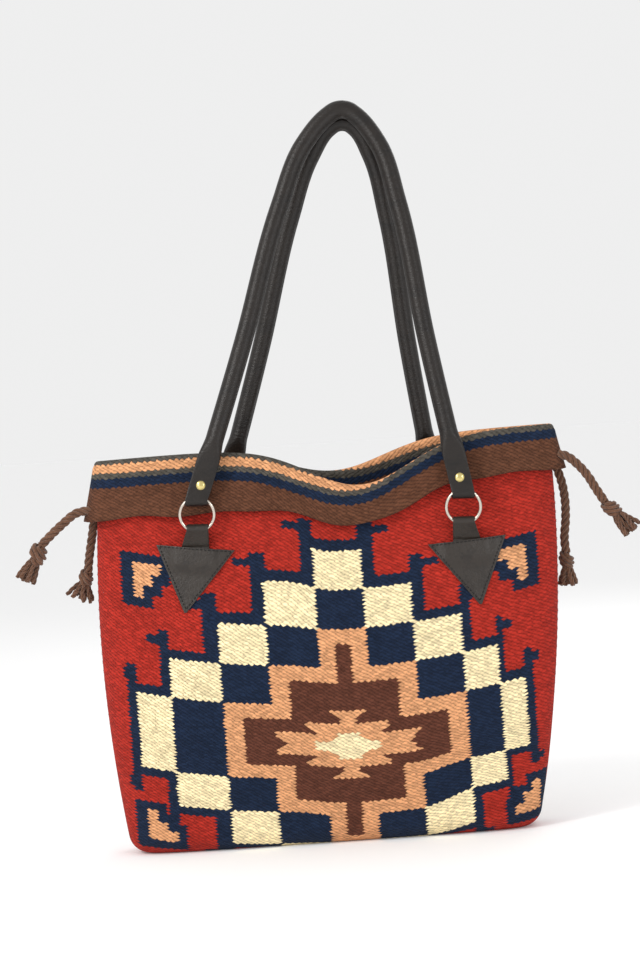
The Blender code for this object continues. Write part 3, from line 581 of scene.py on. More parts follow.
def finish_piece(made, body, finish, nodes=(), rounded=0.0):
    """Give a piece its finish, its body, the solids that it stands for and a soft edge."""
    made.data.materials.append(finish)
    if rounded:
        edge = made.modifiers.new("edge", "BEVEL")
        edge.width = rounded * MM
        edge.segments = 2
        edge.limit_method = "ANGLE"
        edge.angle_limit = math.radians(50)
    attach(made, body)
    if nodes:
        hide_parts(*nodes)
    return made


def thicken(made, thickness):
    wall = made.modifiers.new("thickness", "SOLIDIFY")
    wall.thickness = thickness * MM
    wall.offset = 0.0
    wall.use_even_offset = True


def frames_along(path):
    """Two directions square to a path at each point, turned as little as possible."""
    tangents = unit(np.gradient(path, axis=0))
    first = np.cross(tangents[0], (0.0, 1.0, 0.0))
    if np.linalg.norm(first) < 0.2:
        first = np.cross(tangents[0], (1.0, 0.0, 0.0))
    beside = [unit(first)]
    for tangent in tangents[1:]:
        last = beside[-1] - tangent * (beside[-1] @ tangent)
        beside.append(unit(last))
    beside = np.array(beside)
    return beside, np.cross(tangents, beside)


def plied_rows(path, radius, plies, pitch, sides, start=0.0):
    """Rings round a path with the outline of touching round plies, turning once each pitch.

    Within half a ply's share of the circle, r = d cos t + sqrt(q^2 - d^2 sin^2 t),
    where q is a ply's radius and d its distance from the cord's middle.
    """
    path = np.asarray(path, float)
    radius = np.broadcast_to(radius, len(path))[:, None]
    half = math.pi / plies
    ply = 1 / (1 + 1 / math.sin(half))
    middle = 1 - ply
    angle = np.arange(sides) * 2 * math.pi / sides
    local = (angle + half) % (2 * half) - half
    outline = middle * np.cos(local) + np.sqrt(np.maximum(ply**2 - (middle * np.sin(local)) ** 2, 0.0))
    twist = start + distances(path)[:, None] * 2 * math.pi / pitch
    beside, other = frames_along(path)
    turned = angle + twist
    reach = radius * outline
    across = (reach * np.cos(turned))[..., None] * beside[:, None]
    return path[:, None] + across + (reach * np.sin(turned))[..., None] * other[:, None]


def feed(node, inputs):
    """Give sockets, by number or name, a value or a link from a socket or a node's first output."""
    for key, value in inputs.items():
        if isinstance(value, bpy.types.Node):
            value = next(socket for socket in value.outputs if socket.enabled)
        if isinstance(value, bpy.types.NodeSocket):
            node.id_data.links.new(value, node.inputs[key])
        else:
            node.inputs[key].default_value = value

def add(tree, kind, *inputs, **settings):
    """Add a node with its settings, and feed the sockets that these leave open in order."""
    node = tree.nodes.new("ShaderNode" + kind)
    for name, value in settings.items():
        setattr(node, name, value)
    numbers = [number for number, socket in enumerate(node.inputs) if socket.enabled]
    feed(node, dict(zip(numbers, inputs)))
    return node

MAIN_SETTING = {
    "Math": "operation",
    "VectorMath": "operation",
    "Mix": "data_type",
    "TexWhiteNoise": "noise_dimensions",
}

def build(tree, known, steps):
    """Add a node for each step, which names its result, its kind and setting, and its inputs.

    A kind in capitals is a Math operation. An input that is text names an earlier result.
    """
    for name, kind, *inputs in steps:
        kind, *setting = ("Math", kind) if kind.isupper() else kind.split()
        values = [known[value] if isinstance(value, str) else value for value in inputs]
        known[name] = add(tree, kind, *values, **{MAIN_SETTING[kind]: value for value in setting})
    return known

def new_finish(name, inputs):
    """A Principled material with these inputs, its tree and its shader."""
    made = bpy.data.materials.new(name)
    made.use_nodes = True
    shader = made.node_tree.nodes["Principled BSDF"]
    feed(shader, inputs)
    return made, made.node_tree, shader

# The cell of the weave that a point lies in, as a lozenge of a staggered grid.
# Rows of weft that cross a colour's upright edge then bite into each other as
# teeth, and level edges are waves, as they are in weft-faced wool.
WEAVE_CELL = (
    ("p", "DIVIDE", "u", "two warps"),
    ("q", "DIVIDE", "w", "two rows"),
    ("p whole", "ROUND", "p"),
    ("q whole", "ROUND", "q"),
    ("p off", "SUBTRACT", "p", "p whole"),
    ("q off", "SUBTRACT", "q", "q whole"),
    ("p far", "ABSOLUTE", "p off"),
    ("q far", "ABSOLUTE", "q off"),
    ("far", "ADD", "p far", "q far"),
    ("on warp", "LESS_THAN", "far", 0.5),
    ("between", "SUBTRACT", 1.0, "on warp"),
    ("p floor", "FLOOR", "p"),
    ("q floor", "FLOOR", "q"),
    ("p half", "ADD", "p floor", 0.5),
    ("q half", "ADD", "q floor", 0.5),
    ("p here", "MULTIPLY", "p whole", "on warp"),
    ("p there", "MULTIPLY", "p half", "between"),
    ("p cell", "ADD", "p here", "p there"),
    ("q here", "MULTIPLY", "q whole", "on warp"),
    ("q there", "MULTIPLY", "q half", "between"),
    ("q cell", "ADD", "q here", "q there"),
    ("p in", "SUBTRACT", "p", "p cell"),
    ("q in", "SUBTRACT", "q", "q cell"),
    ("cell u", "MULTIPLY", "p cell", "two warps"),
    ("cell w", "MULTIPLY", "q cell", "two rows"),
)

# One stitch stands up as an oval dome, sheared because the yarn is spun, and
# its plies are fine slanting lines across it.
STITCH_RELIEF = (
    ("lean", "MULTIPLY", "q in", 0.45),
    ("across", "ADD", "p in", "lean"),
    ("across 2", "MULTIPLY", "across", "across"),
    ("up 2", "MULTIPLY", "q in", "q in"),
    ("sum", "ADD", "across 2", "up 2"),
    ("dome low", "MULTIPLY", "sum", 3.6),
    ("dome raw", "SUBTRACT", 1.0, "dome low"),
    ("dome", "MAXIMUM", "dome raw", 0.0),
    ("ply u", "MULTIPLY", "u", 2.6),
    ("ply w", "MULTIPLY", "w", 3.4),
    ("ply at", "ADD", "ply u", "ply w"),
    ("ply wave", "SINE", "ply at"),
    ("ply", "MULTIPLY", "ply wave", 0.05),
    ("relief", "ADD", "dome", "ply"),
)

def rings(name, across, up):
    """Steps for the ring that a point lies in, where the middle square reaches this far across and up."""
    steps = []
    for axis, start, pitch in (("a", across, SQUARE[0]), ("b", up, SQUARE[1])):
        steps += [
            (f"{name} {axis} past", "SUBTRACT", axis, start),
            (f"{name} {axis} share", "DIVIDE", f"{name} {axis} past", pitch),
            (f"{name} {axis} whole", "CEIL", f"{name} {axis} share"),
            (f"{name} {axis}", "MAXIMUM", f"{name} {axis} whole", 0.0),
        ]
    return (*steps, (name, "ADD", f"{name} a", f"{name} b"))

def box(name, across, up):
    """Steps for a rectangle about the figure's middle that reaches this far across and up."""
    return (
        (f"{name} across", "LESS_THAN", "a", across),
        (f"{name} up", "LESS_THAN", "b", up),
        (name, "MULTIPLY", f"{name} across", f"{name} up"),
    )

# The figure: a stepped diamond of squares 45 mm wide and 36 mm high. A square's
# ring is the columns out from the middle plus the rows up from it.
FIGURE = (
    # The hand-woven squares narrow towards both sides, more on the right
    ("far out", "ABSOLUTE", "cell u"),
    ("on right", "GREATER_THAN", "cell u", 0.0),
    ("on left", "SUBTRACT", 1.0, "on right"),
    ("scale", "MULTIPLY_ADD", "on right", 0.03, 0.955),
    ("a 1", "MULTIPLY", "far out", "scale"),
    ("past 3", "SUBTRACT", "far out", 112.0),
    ("past 3 held", "MAXIMUM", "past 3", 0.0),
    ("past 3 right", "MULTIPLY", "past 3 held", "on right"),
    ("a 2", "MULTIPLY_ADD", "past 3 right", 0.4, "a 1"),
    ("past 4 from", "MULTIPLY_ADD", "on left", 19.0, 145.0),
    ("past 4", "SUBTRACT", "far out", "past 4 from"),
    ("past 4 held", "MAXIMUM", "past 4", 0.0),
    ("a", "MULTIPLY_ADD", "past 4 held", 0.38, "a 2"),
    ("b", "ABSOLUTE", "cell w"),
    *rings("ring", 21.0, 36.0),
    ("cream squares", "LESS_THAN", "ring", 4.5),
    ("navy squares", "LESS_THAN", "ring", 3.5),
    ("peach frame", "LESS_THAN", "ring", 2.5),
    # The navy outline, 13 mm wide at the sides and 9 mm above and below
    *rings("out", 34.0, 45.0),
    ("outline", "LESS_THAN", "out", 4.5),
    # A cross on each outer corner: an upright, and an arm that points outward
    ("in column", "FLOORED_MODULO", "out a past", SQUARE[0]),
    ("in row", "FLOORED_MODULO", "out b past", SQUARE[1]),
    ("next ring", "COMPARE", "out", 5.0, 0.5),
    ("last of column", "GREATER_THAN", "in column", 31.5),
    ("first of row", "LESS_THAN", "in row", 16.5),
    ("upright 1", "MULTIPLY", "next ring", "last of column"),
    ("upright", "MULTIPLY", "upright 1", "first of row"),
    ("ring after", "COMPARE", "out", 6.0, 0.5),
    ("first of column", "LESS_THAN", "in column", 13.5),
    ("arm height", "COMPARE", "in row", 7.5, 3.8),
    ("arm 1", "MULTIPLY", "ring after", "first of column"),
    ("arm", "MULTIPLY", "arm 1", "arm height"),
    ("bag u", "ADD", "cell u", FIGURE_X),
    ("bag a", "ABSOLUTE", "bag u"),
    ("on panel", "LESS_THAN", "bag a", 202.0),
    ("navy 1", "MAXIMUM", "upright", "arm"),
    ("navy 2", "MAXIMUM", "navy 1", "outline"),
    ("navy outline", "MULTIPLY", "navy 2", "on panel"),
    # The brown inside, 17 mm in from the frame's sides and 13 mm from its top
    *rings("in", 4.0, 23.0),
    ("inside", "LESS_THAN", "in", 2.5),
    ("stem wide", "LESS_THAN", "a", 7.6),
    ("stem high", "COMPARE", "b", 76.0, 19.0),
    ("stem", "MULTIPLY", "stem wide", "stem high"),
    ("above stem", "LESS_THAN", "a", 4.3),
    ("too high", "GREATER_THAN", "b", 60.0),
    ("spike", "MULTIPLY", "above stem", "too high"),
    ("no spike", "SUBTRACT", "inside", "spike"),
    ("brown", "MAXIMUM", "no spike", "stem"),
    # The star: two bands with saw-tooth ends, and a small anchor above and below
    ("low band", "LESS_THAN", "b", 11.5),
    ("low end", "MULTIPLY_ADD", "b", 1.05, 56.0),
    ("low wide", "LESS_THAN", "a", "low end"),
    ("star 1", "MULTIPLY", "low band", "low wide"),
    ("high band", "COMPARE", "b", 16.2, 4.8),
    ("high end", "ADD", "b", 19.0),
    ("high wide", "LESS_THAN", "a", "high end"),
    ("star 2", "MULTIPLY", "high band", "high wide"),
    ("neck", "COMPARE", "b", 24.0, 3.2),
    ("neck wide", "LESS_THAN", "a", 7.0),
    ("star 3", "MULTIPLY", "neck", "neck wide"),
    ("anchor", "COMPARE", "b", 30.0, 3.0),
    ("anchor end", "SUBTRACT", "b", 16.5),
    ("anchor wide", "LESS_THAN", "a", "anchor end"),
    ("star 4", "MULTIPLY", "anchor", "anchor wide"),
    ("star 5", "MAXIMUM", "star 1", "star 2"),
    ("star 6", "MAXIMUM", "star 3", "star 4"),
    ("star", "MAXIMUM", "star 5", "star 6"),
    # The cream heart of the star
    *box("heart 1", 29.0, 4.0),
    *box("heart 2", 15.5, 8.5),
    *box("heart 3", 9.0, 13.0),
    ("heart 4", "MAXIMUM", "heart 1", "heart 2"),
    ("heart", "MAXIMUM", "heart 4", "heart 3"),
    # The corner ornaments: stepped triangles in a navy angle
    ("from side", "SUBTRACT", 187.0, "bag a"),
    ("from top", "SUBTRACT", 157.0, "cell w"),
    ("from foot", "ADD", "cell w", 112.0),
    ("upper", "GREATER_THAN", "cell w", 0.0),
    ("lower", "SUBTRACT", 1.0, "upper"),
    ("end 1", "MULTIPLY", "from top", "upper"),
    ("end 2", "MULTIPLY", "from foot", "lower"),
    ("from end", "ADD", "end 1", "end 2"),
    ("step 1", "DIVIDE", "from side", 9.5),
    ("step 2", "FLOOR", "step 1"),
    ("step 3", "DIVIDE", "from end", 10.5),
    ("step 4", "FLOOR", "step 3"),
    ("steps", "ADD", "step 2", "step 4"),
    ("in steps", "LESS_THAN", "steps", 2.5),
    ("past side", "GREATER_THAN", "from side", 0.0),
    ("past end", "GREATER_THAN", "from end", 0.0),
    ("ornament 1", "MULTIPLY", "in steps", "past side"),
    ("ornament", "MULTIPLY", "ornament 1", "past end"),
    ("rim 1", "SUBTRACT", "from side", 8.5),
    ("rim 2", "MAXIMUM", "rim 1", 0.0),
    ("rim 3", "DIVIDE", "rim 2", 9.5),
    ("rim 4", "FLOOR", "rim 3"),
    ("rim 5", "SUBTRACT", "from end", 8.5),
    ("rim 6", "MAXIMUM", "rim 5", 0.0),
    ("rim 7", "DIVIDE", "rim 6", 10.5),
    ("rim 8", "FLOOR", "rim 7"),
    ("rim steps", "ADD", "rim 4", "rim 8"),
    ("in rim", "LESS_THAN", "rim steps", 2.5),
    ("rim side", "GREATER_THAN", "from side", -11.0),
    ("rim end", "GREATER_THAN", "from end", -9.0),
    ("rim 9", "MULTIPLY", "in rim", "rim side"),
    ("rim", "MULTIPLY", "rim 9", "rim end"),
    # The stripes, even on both sides of the peach one
    ("striped", "GREATER_THAN", "cell w", STRIPE_SHEET / 2),
    ("from stripe", "SUBTRACT", "cell w", STRIPE_SHEET),
    ("stripe", "ABSOLUTE", "from stripe"),
    ("past brown", "GREATER_THAN", "from stripe", 38.0),
    ("not past", "SUBTRACT", 1.0, "past brown"),
    ("cuff brown", "MULTIPLY", "striped", "not past"),
    *(
        step
        for yarn, reach in (("navy", 17.5), ("grey", 10.2), ("peach", 4.0))
        for step in (
            (f"{yarn} line", "LESS_THAN", "stripe", reach),
            (f"stripe {yarn}", "MULTIPLY", f"{yarn} line", "striped"),
        )
    ),
)

# Which yarn covers the one before it
LAYERS = (
    ("rim", "navy"),
    ("ornament", "peach"),
    ("navy outline", "navy"),
    ("cream squares", "cream"),
    ("navy squares", "navy"),
    ("peach frame", "peach"),
    ("brown", "dark_brown"),
    ("star", "peach"),
    ("heart", "cream"),
    ("striped", "red"),
    ("cuff brown", "brown"),
    ("stripe navy", "navy"),
    ("stripe grey", "grey"),
    ("stripe peach", "peach"),
)

# How light the wool is: by the stitch, by its fibres and in broad clouds, with painted shade in the hollows between
# stitches
WOOL_TONES = (
    ("cell", "CombineXYZ", "cell u", "cell w", 0.0),
    ("chance", "TexWhiteNoise 2D", "cell"),
    ("fibre", "TexNoise", "moved", 1.9, 3.0),
    ("patchy", "TexNoise", "moved", 0.03, 2.0),
    ("stitch", "MULTIPLY_ADD", "chance", 0.42, -0.21),
    ("hair", "MULTIPLY_ADD", "fibre", 0.9, -0.45),
    ("cloud", "MULTIPLY_ADD", "patchy", 0.3, -0.15),
    # Painted shade: the colour is darkened towards the hollows between the stitch domes
    ("hollow 1", "POWER", "dome", 0.7),
    ("hollow", "MULTIPLY_ADD", "hollow 1", 0.85, 0.42),
    ("tone 1", "ADD", "stitch", "hair"),
    ("tone 2", "ADD", "tone 1", "cloud"),
    ("tone 3", "ADD", "tone 2", 1.0),
    ("tone", "MULTIPLY", "tone 3", "hollow"),
    ("shaded", "VectorMath SCALE", "colour", "tone"),
    ("rough", "ADD", "relief", "hair"),
)

def wool_finish(cloth):
    """Weft-faced sheep's wool, spun thick and matt: dense rows, with painted shade in the hollows between them."""
    made, tree, shader = new_finish(
        "hand-woven wool",
        {"Roughness": 0.95, "Specular IOR Level": 0.05, "Sheen Weight": 0.04, "Sheen Roughness": 0.6},
    )
    place = add(tree, "UVMap", uv_map="cloth")
    real = add(tree, "VectorMath", place, (1000.0, 1000.0, 0.0), operation="MULTIPLY")
    loose = add(tree, "TexNoise", real, 0.16, 2.0, noise_dimensions="2D")
    known = {"real": real, "loose": loose.outputs["Color"], "colour": (*cloth.red, 1.0)}
    known["two warps"] = 2 * cloth.warp_spacing
    known["two rows"] = 2 * cloth.row_height
    # The weft wanders by up to 2.3 mm across and 1.1 mm up
    wander = (
        ("drift", "VectorMath SUBTRACT", "loose", (0.5, 0.5, 0.5)),
        ("uneven", "VectorMath MULTIPLY", "drift", (4.6, 2.2, 0.0)),
        ("moved", "VectorMath ADD", "real", "uneven"),
        ("parts", "SeparateXYZ", "moved"),
    )
    build(tree, known, wander)
    known["u"], known["w"] = known["parts"].outputs[:2]
    layers = [("colour", "Mix RGBA", mask, "colour", (*getattr(cloth, yarn), 1.0)) for mask, yarn in LAYERS]
    for steps in (WEAVE_CELL, STITCH_RELIEF, FIGURE, layers, WOOL_TONES):
        build(tree, known, steps)
    bump = add(tree, "Bump", cloth.relief, cloth.relief_height * MM)
    feed(bump, {"Height": known["rough"]})
    feed(shader, {"Base Color": known["shaded"], "Normal": bump})
    return made

def leather_finish(name, colour, worn, creases):
    """Drum-dyed cowhide with a semi-matt coat: pebbled grain with fine creases, paler where rubbed.

    The real grain is about 0.8 mm wide, and is drawn 1.6 mm wide so that it shows.
    On the rolls it is squeezed along their length, as the real one is by bending.
    """
    made, tree, shader = new_finish(name, {"Specular IOR Level": 0.36})
    steps = (
        ("real", "VectorMath MULTIPLY", "place", tuple(1000.0 * share for share in creases)),
        ("pebbles", "TexVoronoi", "real", 0.62),
        ("fine", "TexNoise", "real", 1.4, 4.0),
        ("crease", "TexNoise", "real", 0.3, 3.0, 0.6),
        ("broad", "TexNoise", "real", 0.05, 3.0),
        ("grain 1", "MULTIPLY", "pebbles", 0.7),
        ("grain 2", "MULTIPLY_ADD", "fine", 0.5, "grain 1"),
        ("grain", "MULTIPLY_ADD", "crease", 2.2, "grain 2"),
        ("rubbed 1", "MULTIPLY_ADD", "broad", 2.6, -1.1),
        ("rubbed 2", "MULTIPLY_ADD", "crease", 1.4, "rubbed 1"),
        ("rubbed 3", "MAXIMUM", "rubbed 2", 0.0),
        ("rubbed", "MINIMUM", "rubbed 3", 1.0),
        ("dull", "MULTIPLY_ADD", "fine", 0.3, 0.23),
        ("colours", "Mix RGBA", "rubbed", linear(colour), linear(worn)),
    )
    known = build(tree, {"place": add(tree, "TexCoord").outputs["Object"]}, steps)
    bump = add(tree, "Bump", 0.4, 0.55 * MM)
    feed(bump, {"Height": known["grain"]})
    feed(shader, {"Base Color": known["colours"], "Roughness": known["dull"], "Normal": bump})
    return made

def metal_finish(name, colour, roughness, scratch):
    """Polished plate or solid metal: fine rubbed marks break the highlight."""
    made, tree, shader = new_finish(name, {"Metallic": 1.0, "Base Color": linear(colour)})
    marks = add(tree, "TexNoise", add(tree, "TexCoord").outputs["Object"], 900.0, 3.0)
    dull = add(tree, "Math", marks, scratch, roughness - scratch / 2, operation="MULTIPLY_ADD")
    feed(shader, {"Roughness": dull})
    return made

def yarn_finish(name, colour, shade):
    """Plied wool yarn, matt and hairy: streaks of darker fibre along its plies."""
    made, tree, shader = new_finish(name, {"Roughness": 0.95, "Specular IOR Level": 0.1, "Sheen Weight": 0.3})
    steps = (
        ("fibre", "TexNoise", "place", 1500.0, 3.0),
        ("patches", "TexNoise", "place", 120.0, 2.0),
        ("tone 1", "MULTIPLY_ADD", "fibre", 1.5, -0.5),
        ("tone", "MULTIPLY_ADD", "patches", 0.5, "tone 1"),
        ("tone held", "MINIMUM", "tone", 1.0),
        ("colours", "Mix RGBA", "tone held", linear(shade), linear(colour)),
    )
    known = build(tree, {"place": add(tree, "TexCoord").outputs["Object"]}, steps)
    bump = add(tree, "Bump", 0.6, 0.5 * MM)
    feed(bump, {"Height": known["tone 1"]})
    feed(shader, {"Base Color": known["colours"], "Normal": bump})
    return made

def stage_finish(name, colour):
    """Plain matt paper, as bright far away as the light behind it, so that no line shows between them."""
    inputs = {"Base Color": linear(colour), "Roughness": 0.9, "Specular IOR Level": 0.1}
    inputs.update({"Emission Color": WHITE, "Emission Strength": 0.06})
    return new_finish(name, inputs)[0]

def colour_setting(name, description, code):
    return FloatVectorProperty(
        name=name, description=description, subtype="COLOR", size=3, min=0.0, max=1.0, default=linear(code)[:3]
    )


class ToteClothSettings(bpy.types.PropertyGroup):
    """The woven cloth's yarns and weave."""

    warp_spacing: FloatProperty(
        name="Warp spacing", description="From one warp to the next, in millimetres", default=3.0, min=1.0, max=8.0
    )
    row_height: FloatProperty(
        name="Row height", description="From one row of weft to the next, in millimetres", default=1.7, min=0.6, max=5.0
    )
    relief: FloatProperty(
        name="Relief", description="How strongly the stitches catch the light", default=0.9, min=0.0, max=1.0
    )
    relief_height: FloatProperty(
        name="Relief height", description="How high a stitch stands, in millimetres", default=1.1, min=0.0, max=4.0
    )
    columns: IntProperty(
        name="Columns", description="Mesh columns in each quarter of the bag", default=104, min=24, max=160
    )
    red: colour_setting("Red", "The field's yarn", "#A02A20")
    navy: colour_setting("Navy", "The outlines' and squares' yarn", "#182439")
    cream: colour_setting("Cream", "The pale squares' yarn", "#E9D7AB")
    peach: colour_setting("Peach", "The frame's and star's yarn", "#CF956A")
    brown: colour_setting("Brown", "The cuff's yarn", "#5A3929")
    dark_brown: colour_setting("Dark brown", "The yarn inside the frame", "#583327")
    grey: colour_setting("Grey", "The thin stripes' yarn", "#4D4943")


class ToteLeatherSettings(bpy.types.PropertyGroup):
    """The stitches on the leather patches."""

    stitch_pitch: FloatProperty(
        name="Stitch pitch", description="From one stitch to the next, in millimetres", default=3.6, min=1.5, max=6.0
    )
    stitch_inset: FloatProperty(
        name="Stitch inset", description="From a patch's edge to its stitches, in millimetres", default=1.3, min=0.8
    )
    stitch_thread: FloatProperty(
        name="Thread", description="How thick the thread is, in millimetres", default=1.3, min=0.2, max=1.5
    )


class ToteCordSettings(bpy.types.PropertyGroup):
    """The plied cords and their tassels."""

    plies: IntProperty(name="Plies", description="Yarns twisted into a cord", default=4, min=2, max=5)
    pitch: FloatProperty(
        name="Twist", description="The length of one turn of the plies, in millimetres", default=27.0, min=8.0
    )
    strands: IntProperty(name="Strands", description="Yarn ends in a tassel", default=11, min=4, max=20)
    seed: IntProperty(name="Seed", description="Which chance arrangement the strands take", default=5, min=0)


class ToteStageSettings(bpy.types.PropertyGroup):
    """The camera and the light."""

    camera_distance: FloatProperty(
        name="Camera distance", description="From the bag to the camera", unit="LENGTH", default=2.6, min=1.0
    )
    camera_rise: FloatProperty(
        name="Camera rise", description="How far the camera looks down", subtype="ANGLE", default=math.radians(1.5)
    )
    roll: FloatProperty(
        name="Roll", description="How far the camera is turned about its view", subtype="ANGLE", default=math.radians(4)
    )
    key: FloatProperty(name="Key light", description="The key light's power", default=27.0, min=0.0)
    sheen: FloatProperty(name="Sheen light", description="The low light along the rolls", default=8.0, min=0.0)
    fill: FloatProperty(name="Fill light", description="The fill light's power", default=9.5, min=0.0)
    world: FloatProperty(name="Surrounding light", description="The strength of the light all round", default=0.86)


class ToteStage(bpy.types.Operator):
    """Set up the floor, the lights and the camera"""

    bl_idname = "tote.stage"
    bl_label = "Stage"

    def execute(self, context):
        stage = context.scene.tote_stage
        # A round floor, so wide that no side view ends at a wall
        angle = np.linspace(0.0, 2 * math.pi, 65)[:-1]
        ring = FLOOR_RADIUS * np.stack([np.cos(angle), np.sin(angle), 0 * angle], axis=1)
        floor = make_mesh("pale_floor", ring, [range(len(ring))])
        floor.data.materials.append(stage_finish("pale paper", "#F7F7F7"))
        context.scene.view_settings.view_transform = "Standard"
        world = context.scene.world or bpy.data.worlds.new("studio")
        context.scene.world = world
        world.use_nodes = True
        feed(world.node_tree.nodes["Background"], {"Color": WHITE, "Strength": stage.world})
        lamps = (
            ("key", (-1.5, -1.6, 1.7), 0.5, stage.key, (1.0, 0.985, 0.965)),
            ("sheen", (-1.4, -2.2, 0.75), 0.6, stage.sheen, (1.0, 0.99, 0.975)),
            ("fill", (1.6, -1.9, 0.75), 0.6, stage.fill, (0.97, 0.985, 1.0)),
            ("back", (0.8, 2.0, 1.7), 1.2, stage.fill, (1.0, 1.0, 1.0)),
        )
        for name, place, size, power, colour in lamps:
            lamp = bpy.data.lights.new(name, "AREA")
            lamp.size = size
            lamp.energy = power
            lamp.color = colour
            made = bpy.data.objects.new(name, lamp)
            made.location = place
            aim = Vector(LAMPS_AIM) - Vector(place)
            made.rotation_euler = aim.to_track_quat("-Z", "Y").to_euler()
            context.scene.collection.objects.link(made)
        self.add_camera(context, stage)
        return {"FINISHED"}

    def add_camera(self, context, stage):
        """The camera looks along +Y at the bag's middle, raised a little and rolled."""
        data = bpy.data.cameras.new("camera")
        data.sensor_fit = "VERTICAL"
        data.sensor_height = SENSOR
        data.lens = SENSOR * stage.camera_distance / VIEW_HEIGHT
        data.clip_end = 50.0
        camera = bpy.data.objects.new("camera", data)
        right = Vector((math.cos(stage.roll), 0.0, -math.sin(stage.roll)))
        up = Vector((math.sin(stage.roll), 0.0, math.cos(stage.roll)))
        tilt = Matrix.Rotation(-stage.camera_rise, 3, right)
        up = tilt @ up
        back = right.cross(up)
        target = Vector(VIEW_MIDDLE)
        axes = Matrix((right, up, back)).transposed()
        camera.matrix_world = Matrix.Translation(target + back * stage.camera_distance) @ axes.to_4x4()
        context.scene.collection.objects.link(camera)
        context.scene.camera = camera


class ToteCords(bpy.types.Operator):
    """Twist the four cords and hang their knots and tassels"""

    bl_idname = "tote.cords"
    bl_label = "Cords and tassels"

    def execute(self, context):
        cords = context.scene.tote_cords
        yarn = yarn_finish("plied wool", "#86604A", "#2A1A13")
        for number, corner in enumerate(CORD_ROUTES):
            route = smooth_curve(CORD_ROUTES[corner], 12)
            length = distances(route)[-1]
            path = evenly(route, np.linspace(0.0, length, 64))
            rows = plied_rows(path, CORD / 2 * PLY_FULLNESS, cords.plies, cords.pitch, 32)
            cord = make_mesh(f"{corner}_plies", *tube_mesh(rows))
            finish_piece(cord, "bag", yarn, [f"{corner}_cord"])
            tassel = self.tassel(cords, corner, route, number)
            finish_piece(tassel, "bag", yarn, [f"{corner}_tassel"])
        return {"FINISHED"}

    def tassel(self, cords, corner, route, number):
        """Slanting wraps, r = R (1 - 0.3 t^2) and z = c t + d sin of the turn, and the yarn ends below."""
        chance = np.random.default_rng(cords.seed + number)
        heading = unit(route[-1] - route[-2])
        start = route[-1] - heading * 1.5
        end = np.array(TASSEL_ENDS[corner])
        knot, loose = KNOT_WIDTH[corner] * 0.6, TASSEL_WIDTH[corner] * 0.6
        hang = unit(end - start)
        centre = start + (end - start) * 0.25
        beside = unit(np.cross(hang, (0.0, 1.0, 0.0)))
        other = np.cross(hang, beside)
        t = np.linspace(-1.0, 1.0, 90)[:, None]
        thread = min(CORD / 2, knot * 0.45)
        reach = (knot - thread) * (1 - 0.3 * t**2)
        turn = 2.6 * math.pi * t + number
        slope = 0.3 * knot * np.sin(turn + 1.0)
        wraps = centre + reach * (np.cos(turn) * beside + np.sin(turn) * other) + (0.62 * knot * t + slope) * hang
        parts = [tube_mesh(plied_rows(wraps, thread, 3, cords.pitch, 24))]
        inner = start + (end - start) * np.linspace(0.0, 0.5, 14)[:, None]
        parts.append(tube_mesh(plied_rows(inner, thread, cords.plies, cords.pitch, 24)))
        length = np.linalg.norm(end - start)
        for k in range(cords.strands):
            angle = 2 * math.pi * (k + chance.uniform(-0.3, 0.3)) / cords.strands
            inner = 0.35 if k % 3 == 0 else 1.0
            share = np.linspace(0.0, 1.0, 22)[:, None]
            reach = (chance.uniform(0.8, 1.0) * loose - 2.2) * inner
            out = math.cos(angle) * beside + math.sin(angle) * other
            curl = chance.uniform(-0.12, 0.12) * loose * np.sin(share * chance.uniform(3.0, 6.0))
            spread = knot * 0.25 + (reach - knot * 0.25) * share**0.8
            long = length * chance.uniform(0.56, 0.64)
            line = start + hang * (length * 0.37 + long * share) + out * spread + curl * np.cross(out, hang)
            radius = chance.uniform(2.3, 2.9) * (0.75 + 0.25 * share[:, 0]) * (1 - 0.3 * share[:, 0] ** 8)
            parts.append(tube_mesh(plied_rows(line, radius, 3, chance.uniform(14.0, 20.0), 18, angle)))
        return make_mesh(f"{corner}_knot_and_ends", *joined(parts))


